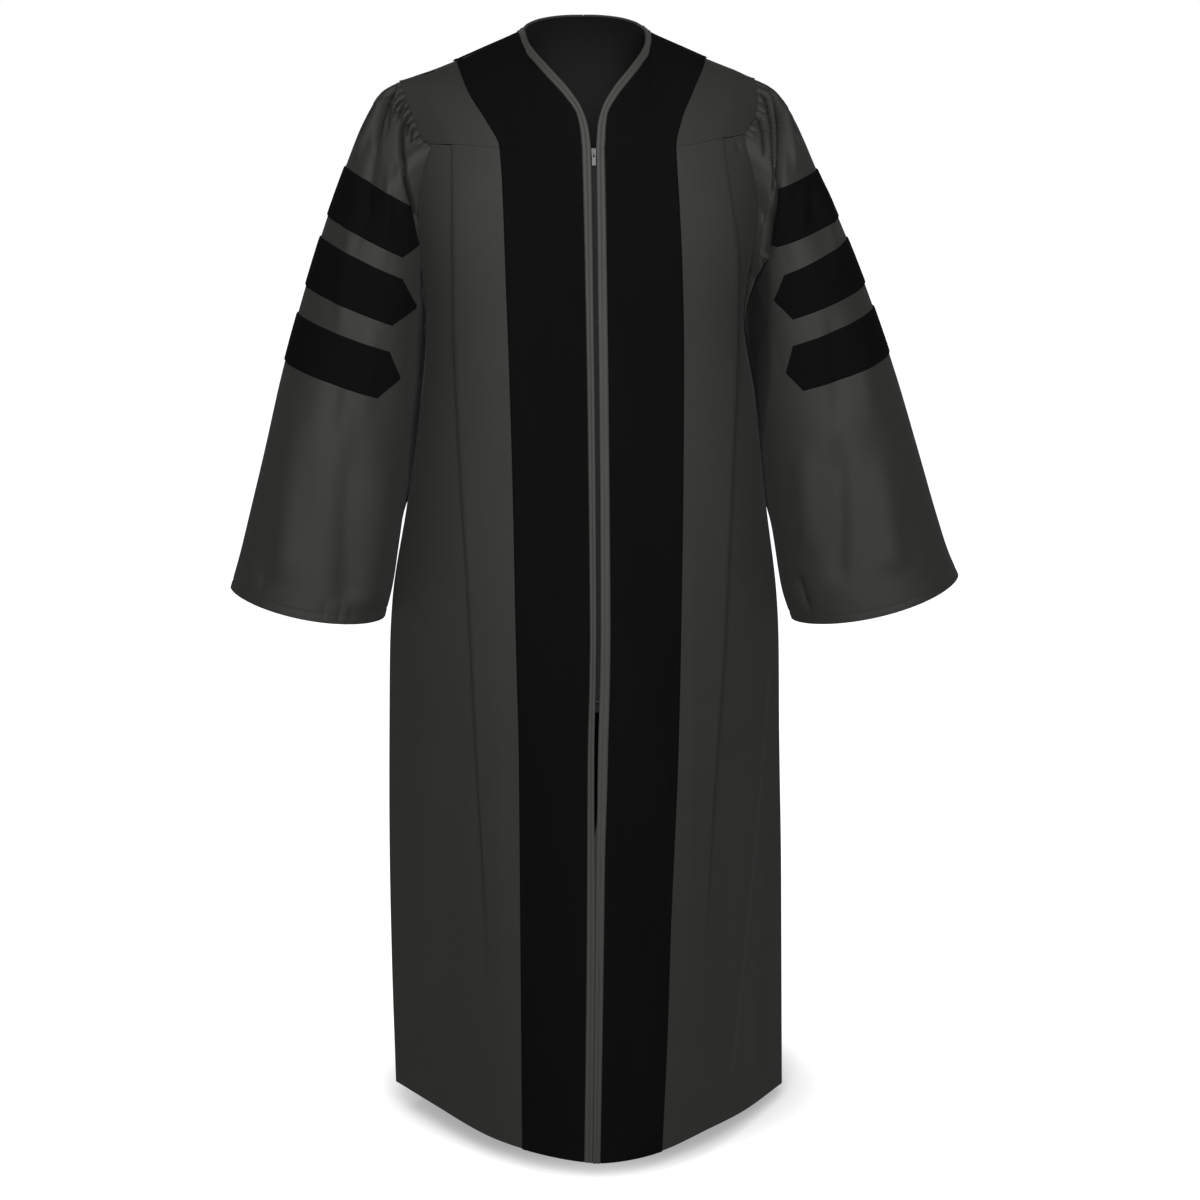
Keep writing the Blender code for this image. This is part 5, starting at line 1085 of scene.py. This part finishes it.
def bar_edges(side_name, loop, turn):
    """Places along the sleeve of the top and bottom edges of the bars at each column, and the columns covered.

    On the front they are straight lines between the corners, and the back is like the front."""
    along = np.linspace(0, 1, 401)
    front = np.flatnonzero(turn <= 180)
    surface = sleeve_rings(side_name, np.repeat(along[:, None], len(front), axis=1), turn[front])
    surface = surface + np.clip(1 - along / HEAD_END, 0, 1)[:, None, None] ** 2 * (loop[front] - surface[0])
    swing = 1 - np.cos(np.radians(turn))
    edges, covered = [], []
    for bar, under in zip(BAR_CORNERS[side_name], BAR_ROWS_UNDER):
        top, bottom, end_top, tip, end_bottom = bar
        start_top, start_bottom = [surface[nearest(along, level), 0][[0, 2]] for level in (top, bottom)]
        corners = [nearest(turn[front], angle) for _, angle in (end_top, tip, end_bottom)]
        ends = [surface[nearest(along, level), column][[0, 2]]
                for (level, _), column in zip((end_top, tip, end_bottom), corners)]
        upper = np.where(front <= corners[0], crossing(along, surface, start_top, ends[0]),
                         crossing(along, surface, ends[0], ends[1]))
        lower = np.where(front <= corners[2], crossing(along, surface, start_bottom, ends[2]),
                         crossing(along, surface, ends[2], ends[1]))
        blunt = BAR_TIP * (bottom - top)
        middle, half = (upper + lower) / 2, np.maximum((lower - upper) / 2, blunt)
        at_tip = swing[corners[1]]
        past = np.clip((swing[front] - at_tip) / (2 - at_tip), 0, 1)
        for edge, rest, step in ((middle - half, under[0], -blunt), (middle + half, under[1], blunt)):
            edge = np.where(front <= corners[1], edge, tip[0] + step + (rest - tip[0] - step) * past)
            edges.append(np.interp(swing, swing[front], edge))
        signed = np.where(turn > 180, turn - 360, turn)
        order = np.argsort(signed)
        covered.append(order[np.abs(signed[order]) <= turn[corners[1]]])
    return np.stack(edges), covered




def grid_normals(points):
    """Outward normals of a grid that closes round its columns."""
    down = np.gradient(points, axis=0)
    round_ = np.roll(points, -1, axis=1) - np.roll(points, 1, axis=1)
    normal = np.cross(round_, down)
    normal /= np.linalg.norm(normal, axis=-1, keepdims=True)
    outward = points - points.mean(axis=1, keepdims=True)
    if np.einsum("ijk,ijk->", normal, outward) < 0:
        normal = -normal
    return normal


def sleeve_grid(side_name):
    """The sleeve's middle surface: rows from the armhole to the hem, columns round from the outer fold.

    Also its normals, the painted shade that darkens its narrow creases, gathers, armhole seam and hollow, the columns
    under each bar and the first row of each bar."""
    loop, turn = armhole_loop(side_name)
    bars, covered = bar_edges(side_name, loop, turn)
    head = np.array(HEAD_ROWS)[:, None] * bars[0]
    foot = bars[-1] + np.array(HEM_ROWS)[:, None] * (1 - bars[-1])
    key = np.concatenate([head, bars, foot])
    even = [np.arange(count) / count for count in (*HEAD_FINE, BETWEEN_FINE, *FOOT_FINE)]
    bar = np.array(BAR_SHARES)
    shares = [*even[:3], bar, even[3], bar, even[3], bar, *even[4:], np.array(CUFF_SHARES)]
    rows = [key[i] + share[:, None] * (key[i + 1] - key[i]) for i, share in enumerate(shares)]
    starts = np.cumsum([0] + [len(share) for share in shares])
    along = np.concatenate(rows)
    fade = np.clip(1 - along / HEAD_END, 0, 1) ** 2
    points = sleeve_rings(side_name, along, turn)
    points = points + fade[..., None] * (loop - points[0])
    past = turn - TUCK_TURN
    tuck = np.exp(-(past / np.where(past < 0, *TUCK_REACH)) ** 2)
    tuck = tuck * np.interp(along, (*TUCK_BEGIN, *TUCK_END), (0, 1, 1, 0))
    inner_x = np.abs(points[:, [nearest(turn, 180)], 0])
    points[..., 0] -= SIDES[side_name] * tuck * (np.abs(points[..., 0]) - inner_x + TUCK_IN[side_name])
    near, far = [curve(points[..., 2], HOLLOW[side_name], HOLLOW_COLUMNS, name) for name in ("near", "far")]
    out = np.abs(points[..., 0])
    inside = np.clip((far - out) / np.maximum(far - inner_x, HOLLOW_EDGE), 0, 1)
    inside = inside * np.clip((out - near) / HOLLOW_EDGE, 0, 1) * np.clip(along / 0.012, 0, 1)
    inside = inside * np.clip((points[..., 2] + 0.54) / 0.06, 0, 1) * ((turn > 95) & (turn <= 180))
    points[..., 1] += np.maximum(HOLLOW_Y - points[..., 1], 0) * inside
    waves, troughs, lengths = gather_waves(side_name, len(turn))
    gathered = np.clip(along / GATHER_START, GATHER_SEAM, 1) * np.clip(1 - along / lengths, 0, 1) ** 1.3
    waves = waves * gathered
    facing = np.sin(np.radians(turn))
    x, z = points[..., 0], points[..., 2]
    table = SLEEVE_CREASES[side_name]
    pinches = [(line, 1.0, *(PINCH_REACH[int(height < -0.0055)],) * 2, begin, end)
               for line, height, reach, _, begin, end in table if height < -0.0017 and reach < 0.0055]
    front, back = np.clip(facing * 4, 0, 1), np.clip(-facing * 4, 0, 1)
    spread, drop = BACK_SLEEVE_SHIFT
    from_seam = np.clip(along / 0.020, 0, 1)
    narrow = np.clip(facing * 12, 0, 1) * creases(x, z, pinches) + back * creases(x * spread, z + drop, pinches)
    waves = waves + FOLD_DEPTH * front * from_seam * creases(x, z, table)
    waves = waves + FOLD_DEPTH * BACK_SLEEVE_HEIGHT * back * from_seam * creases(x * spread, z + drop, table)
    waves = waves - PINCH_DEPTH * from_seam * np.minimum(narrow, 1)
    # Painted shade: the colour is darkened in the narrow creases, the gathers' troughs, along the armhole seam and in
    # the hollow beside the body, where shade falls
    painted_shade = PINCH_SHADE * np.minimum(narrow, 1) + SEAM_SHADE * np.exp(-(along / SEAM_REACH) ** 2)
    painted_shade = painted_shade + PINCH_SHADE * np.clip(1.8 * gathered * troughs, 0, 1)
    painted_shade = np.clip(painted_shade + HOLLOW_SHADE * np.clip(6 * inside, 0, 1), 0, 0.95)
    waves = waves - CUFF_LINE_DEPTH * np.exp(-((along - CUFF_LINE) / CUFF_LINE_REACH) ** 2)
    waves = waves - SEAM_SINK * np.exp(-(along / SEAM_REACH) ** 2)
    points = points + grid_normals(points) * waves[..., None]
    return points, grid_normals(points), painted_shade, covered, starts[[3, 5, 7]]


def around(points):
    """Length round each row of a closed grid and down each column, as places on the flat cloth."""
    ring = np.concatenate([points, points[:, :1]], axis=1)
    across = np.linalg.norm(np.diff(ring, axis=1), axis=-1)
    across = np.concatenate([np.zeros((len(points), 1)), np.cumsum(across, axis=1)], axis=1)
    down = np.linalg.norm(np.diff(ring, axis=0), axis=-1)
    down = np.concatenate([np.zeros((1, ring.shape[1])), np.cumsum(down, axis=0)])
    return np.stack([across, down], axis=-1)


sleeve_shapes = {side_name: sleeve_grid(side_name) for side_name in SIDES}
for side_name in SIDES:
    points, normals, painted_shade = sleeve_shapes[side_name][:3]
    sleeve = cloth_wall("sleeve_%s_cloth" % side_name, points + normals * CLOTH / 2, points - normals * CLOTH / 2,
                        around(points), charcoal, "charcoal_cloth", ["sleeve_" + side_name], ring=True, painted_shade=painted_shade)
    width, length, area = SLEEVE_CUT[side_name]

# Velvet bars
# Three bars of black velvet with pointed ends, folded over at their edges and sewn round each sleeve.
VELVET = 0.0015
BAR_ROLL = 0.0011
BAR_CUTS = {"right": ((0.33, 0.064, 0.0198), (0.39, 0.064, 0.0229), (0.40, 0.064, 0.0231)),
            "left": ((0.30, 0.064, 0.0184), (0.36, 0.064, 0.0193), (0.38, 0.064, 0.0225))}


def pile_group():
    """Short pile: fine standing fibres and, more slowly, patches where the pile leans another way."""
    group, start, end = node_group("velvet_pile", [("Place", "NodeSocketVector", None)],
                                   [("Height", "NodeSocketFloat"), ("Lean", "NodeSocketFloat")])
    fibres = group.nodes.new("ShaderNodeTexNoise")
    fibres.inputs["Scale"].default_value = 1600
    fibres.inputs["Detail"].default_value = 2
    patches = group.nodes.new("ShaderNodeTexNoise")
    patches.inputs["Scale"].default_value = 14
    patches.inputs["Detail"].default_value = 5
    patches.inputs["Roughness"].default_value = 0.6
    stretch = group.nodes.new("ShaderNodeMapping")
    stretch.inputs["Scale"].default_value = (1.0, 0.35, 1.0)
    link_nodes(group, (start.outputs["Place"], fibres.inputs["Vector"]), (start.outputs["Place"], stretch.inputs["Vector"]),
               (stretch.outputs["Vector"], patches.inputs["Vector"]), (fibres.outputs["Fac"], end.inputs["Height"]),
               (patches.outputs["Fac"], end.inputs["Lean"]))
    return group


PILE = pile_group()


def velvet_material(name, dark, light, sheen, sheen_tint):
    """Velvet: a very dark ground with a soft sheen, its shade drifting where the pile leans."""
    material = bpy.data.materials.new(name)
    material.use_nodes = True
    tree = material.node_tree
    shader = tree.nodes["Principled BSDF"]
    shader.inputs["Roughness"].default_value = 0.95
    shader.inputs["Specular IOR Level"].default_value = 0.10
    shader.inputs["Sheen Weight"].default_value = sheen
    shader.inputs["Sheen Roughness"].default_value = 0.35
    shader.inputs["Sheen Tint"].default_value = (*sheen_tint, 1)
    plan = tree.nodes.new("ShaderNodeUVMap")
    plan.uv_map = "plan"
    pile = tree.nodes.new("ShaderNodeGroup")
    pile.node_tree = PILE
    mix = tree.nodes.new("ShaderNodeMix")
    mix.data_type = "RGBA"
    mix.inputs["A"].default_value = (*dark, 1)
    mix.inputs["B"].default_value = (*light, 1)
    raised = tree.nodes.new("ShaderNodeBump")
    raised.inputs["Strength"].default_value = 0.35
    raised.inputs["Distance"].default_value = 0.0003
    link_nodes(tree, (plan.outputs["UV"], pile.inputs["Place"]), (pile.outputs["Lean"], mix.inputs["Factor"]),
               (mix.outputs["Result"], shader.inputs["Base Color"]), (pile.outputs["Height"], raised.inputs["Height"]),
               (raised.outputs["Normal"], shader.inputs["Normal"]))
    return material


velvet = velvet_material("black_velvet", (0.0040, 0.0040, 0.0038), (0.0070, 0.0070, 0.0066), 0.02, (0.5, 0.5, 0.48))
for side_name in SIDES:
    points, normals, _, covered, firsts = sleeve_shapes[side_name]
    plan = around(points)
    for number, columns in enumerate(covered):
        rows = np.arange(firsts[number], firsts[number] + len(BAR_SHARES) + 1)
        cells = np.ix_(rows, columns)
        edge = np.minimum(np.arange(len(rows)), np.arange(len(rows))[::-1])
        roll = np.array([1.0, 0.45, 0.12, 0.0])[np.minimum(edge, 3)] * BAR_ROLL
        sideways = np.minimum(np.arange(len(columns)), np.arange(len(columns))[::-1])
        roll = np.maximum(roll[:, None], np.array([1.0, 0.3, 0.0])[np.minimum(sideways, 2)] * BAR_ROLL)
        near = CLOTH / 2 + GAP
        outer = points[cells] + normals[cells] * (near + VELVET - roll)[..., None]
        inner = points[cells] + normals[cells] * near
        bar = cloth_wall("bar_%s_%d_velvet" % (side_name, number + 1), outer, inner, plan[cells], velvet,
                         "black_velvet", ["bar_%s_%d" % (side_name, number + 1)])
        width, length, area = BAR_CUTS[side_name][number]

# Velvet panels
# A wide strip of black velvet down each front, in two pieces seamed at the yoke, and one round the back of the
# neck. Each is folded under at its outer edge and stitched down a finger's width from it.
LAYER_GAP = 0.0006
VELVET_LIFT = PANEL_LIFT + CLOTH / 2 + LAYER_GAP + VELVET / 2
EDGE_ROLL = 0.0008
FACING_LINES = ((0.915, 0.010, -0.0005), (0.955, 0.012, 0.0003))


def velvet_piece(name, x, z, half):
    """A velvet wall on a grid whose first column is the edge band's, kept just clear of the band."""
    share = VELVET_SHARES
    profile = -EDGE_ROLL * np.clip((share - 0.975) / 0.025, 0, 1) ** 2
    for place, reach, height in FACING_LINES:
        profile = profile + height * np.exp(-((share - place) / reach) ** 2)
    faces = []
    for lift in (VELVET_LIFT + VELVET / 2 + profile, VELVET_LIFT - VELVET / 2):
        points = body_point(x, z, lift, half)
        step = points[:, 1] - points[:, 0]
        points[:, 0] += step * LAYER_GAP / np.linalg.norm(step, axis=-1, keepdims=True)
        faces.append(points)
    plan = np.stack([x, z], -1)
    panel = cloth_wall("velvet_%s_cloth" % name, *faces, plan, velvet, "black_velvet", ["velvet_" + name])


velvet_columns = slice(BAND_FINE, BAND_FINE + VELVET_FINE + 1)
for side_name in SIDES:
    x, z, _ = front_yoke_grid(side_name)
    velvet_piece("upper_" + side_name, x[:, velvet_columns], z[:, velvet_columns], "front")
    x, z, _, _ = front_panel_grid(side_name)
    velvet_piece("lower_" + side_name, x[:, velvet_columns], z[:, velvet_columns], "front")
x, z, _ = back_yoke_grid()
velvet_piece("back", x[velvet_columns].T, z[velvet_columns].T, "back")

# Edge bands
# A narrow doubled band of paler cloth up each front edge and round the neck, with a line of sewing down its middle.
BAND = 0.0024
BAND_LIFT = PANEL_LIFT + CLOTH / 2 + LAYER_GAP + BAND / 2
BAND_GROOVE, GROOVE_REACH, BAND_ROUND = 0.0009, 0.085, 0.0008
band_cloth = cloth_material("edge_band", (0.066, 0.065, 0.060), (0.088, 0.087, 0.081), 0.55, 0.12, 0.0009, 0.3)


def band_rows(side_name, lift):
    """Rows of points across one band: up the front opening, round the neckline and to the middle of the back."""
    side = SIDES[side_name]
    across = slice(0, BAND_FINE + 1)
    panel_x, panel_z, _, _ = front_panel_grid(side_name)
    yoke_x, yoke_z, _ = front_yoke_grid(side_name)
    back_x, back_z, _ = back_yoke_grid()
    count = ARM_FINE + SEAM_FINE
    half = slice(0, count + 1) if side == RIGHT else slice(-1, -count - 2, -1)
    neck_x, neck_z = back_x[across, half].T.copy(), back_z[across, half].T
    neck_x[-1] += side * GAP / 2
    rows = [body_point(panel_x[::-1, across], panel_z[::-1, across], lift, "front"),
            body_point(yoke_x[-2:0:-1, across], yoke_z[-2:0:-1, across], lift, "front"),
            body_point(neck_x, neck_z, lift, "back")]
    grid = np.concatenate(rows)
    joint = len(panel_x) + len(yoke_x) - 2
    front_end = body_point(yoke_x[0, across], yoke_z[0, across], lift + GAP, "front")
    back_end = body_point(neck_x[0], neck_z[0], lift + GAP, "back")
    grid[joint] = (back_end + front_end) / 2
    return grid


for side_name in SIDES:
    share = np.linspace(0, 1, BAND_FINE + 1)
    profile = -BAND_GROOVE * np.exp(-((share - 0.5) / GROOVE_REACH) ** 2) - BAND_ROUND * np.abs(2 * share - 1) ** 5
    faces = [band_rows(side_name, BAND_LIFT + BAND / 2 + profile), band_rows(side_name, BAND_LIFT - BAND / 2)]
    middle = band_rows(side_name, BAND_LIFT)
    length = np.linalg.norm(np.diff(middle[:, BAND_FINE // 2], axis=0), axis=-1)
    length = np.concatenate([[0], np.cumsum(length)])
    width = np.linalg.norm(middle - middle[:, :1], axis=-1)
    plan = np.stack([width, np.broadcast_to(length[:, None], width.shape)], axis=-1)
    band = cloth_wall("edge_band_%s_cloth" % side_name, *faces, plan, band_cloth, "edge_band",
                      ["edge_band_" + side_name])

# Zip
# A closed coil zip behind the bands: two woven tapes, the coil's teeth, a plated slider with its pull and a stop.
TAPE = 0.0010
TAPE_LIFT = PANEL_LIFT - CLOTH / 2 - GAP - TAPE / 2
CHAIN = 0.0020
CHAIN_LIFT = TAPE_LIFT + TAPE / 2 + GAP + CHAIN / 2
ZIP_TOP_Z = -0.128
ZIP_END_Z = -0.785
TAPE_BELOW = 0.012
TOOTH_PITCH = 0.0017
TOOTH_SIZE = (0.0023, 0.0010, 0.0016)
TOOTH_OUT = 0.0008
tape_cloth = cloth_material("zip_tape", (0.010, 0.010, 0.010), (0.018, 0.018, 0.018), 0.7, 0.05, 0.0006, 0.4)
coil = bpy.data.materials.new("zip_coil")
coil.use_nodes = True
metal = bpy.data.materials.new("zip_metal")
metal.use_nodes = True


def worn_group():
    """Fine scratches and a little unevenness, as a mask from the object's own coordinates."""
    group, start, end = node_group("fine_wear", [("Scale", "NodeSocketFloat", 900.0)], [("Mask", "NodeSocketFloat")])
    place = group.nodes.new("ShaderNodeTexCoord")
    marks = group.nodes.new("ShaderNodeTexNoise")
    marks.inputs["Detail"].default_value = 4
    link_nodes(group, (place.outputs["Object"], marks.inputs["Vector"]), (start.outputs["Scale"], marks.inputs["Scale"]),
               (marks.outputs["Fac"], end.inputs["Mask"]))
    return group


WEAR = worn_group()
for material, dark, light, metallic, low, high in (
        (coil, (0.020, 0.020, 0.020), (0.045, 0.045, 0.045), 0.0, 0.28, 0.5),
        (metal, (0.045, 0.045, 0.045), (0.085, 0.085, 0.085), 1.0, 0.30, 0.50)):
    tree = material.node_tree
    shader = tree.nodes["Principled BSDF"]
    shader.inputs["Metallic"].default_value = metallic
    wear = tree.nodes.new("ShaderNodeGroup")
    wear.node_tree = WEAR
    mix = tree.nodes.new("ShaderNodeMix")
    mix.data_type = "RGBA"
    mix.inputs["A"].default_value = (*dark, 1)
    mix.inputs["B"].default_value = (*light, 1)
    rough = math_node(tree, "ADD", math_node(tree, "MULTIPLY", wear.outputs["Mask"], high - low), low)
    link_nodes(tree, (wear.outputs["Mask"], mix.inputs["Factor"]), (mix.outputs["Result"], shader.inputs["Base Color"]),
               (rough, shader.inputs["Roughness"]))


def coil_teeth():
    """Small rounded blocks side by side down the chain, in turn from the right and from the left tape."""
    count = int((ZIP_TOP_Z - ZIP_END_Z) / TOOTH_PITCH)
    z = ZIP_TOP_Z - TOOTH_PITCH * (np.arange(count) + 0.5)
    x = section(z, "opening_x") + np.where(np.arange(count) % 2 == 0, -TOOTH_OUT, TOOTH_OUT)
    place = body_point(x, z, CHAIN_LIFT, "front")
    up = body_point(x, z + 0.001, CHAIN_LIFT, "front") - body_point(x, z - 0.001, CHAIN_LIFT, "front")
    up[:, 0] = 0
    up /= np.linalg.norm(up, axis=1, keepdims=True)
    out = np.cross([1.0, 0.0, 0.0], up)
    width, length, height = TOOTH_SIZE
    turn = np.radians(np.arange(0, 360, 45) + 22.5)
    loops = [(-1.0, 0.55), (-0.7, 1.0), (0.7, 1.0), (1.0, 0.55)]
    offsets = [np.stack([np.full(8, end * width / 2), np.cos(turn) * size * length / 2 * 1.08,
                         np.sin(turn) * size * height / 2 * 1.08], axis=1) for end, size in loops]
    shape = np.concatenate(offsets)
    points = (place[:, None] + shape[None, :, 0, None] * np.array([1.0, 0.0, 0.0]) + shape[None, :, 1, None] * up[:, None]
              + shape[None, :, 2, None] * out[:, None]).reshape(-1, 3)
    faces = [tuple(range(7, -1, -1)), tuple(range(24, 32))]
    for loop in range(3):
        faces += [(8 * loop + i, 8 * loop + (i + 1) % 8, 8 * loop + 8 + (i + 1) % 8, 8 * loop + 8 + i) for i in range(8)]
    joined = [tuple(32 * tooth + corner for corner in face) for tooth in range(count) for face in faces]
    mesh = bpy.data.meshes.new("zip_coil_teeth")
    mesh.from_pydata(points.tolist(), [], joined)
    mesh.materials.append(coil)
    mesh.shade_smooth()
    mesh.set_sharp_from_angle(angle=np.radians(60))
    teeth = bpy.data.objects.new("zip_coil_teeth", mesh)
    bpy.context.scene.collection.objects.link(teeth)
    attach(teeth, "gown")
    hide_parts("zip_chain")


coil_teeth()
for side_name in SIDES:
    levels = [level for level in ARM_LEVELS + SKIRT_LEVELS if level > ZIP_END_Z - TAPE_BELOW]
    z = finer([ZIP_TOP_Z, *levels, ZIP_END_Z - TAPE_BELOW], 4)
    width = curve(z, BAND_EDGES, BAND_COLUMNS, "outer_" + side_name)
    x = section(z, "opening_x")[:, None] + SIDES[side_name] * between(np.full(len(z), GAP), width, 6)
    level = np.broadcast_to(z[:, None], x.shape)
    walls = [body_point(x, level, TAPE_LIFT + half, "front") for half in (TAPE / 2, -TAPE / 2)]
    tape = cloth_wall("zip_tape_%s_cloth" % side_name, *walls, np.stack([x, level], -1), tape_cloth, "zip_tape",
                      ["zip_tape_" + side_name])
for name in ("zip_slider", "pull_tab", "zip_stop"):
    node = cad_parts[name]
    node.material_slots[0].material = metal
    rounded = node.modifiers.new("rounded", "BEVEL")
    rounded.width = 0.00018
    rounded.segments = 2
    rounded.limit_method = "ANGLE"
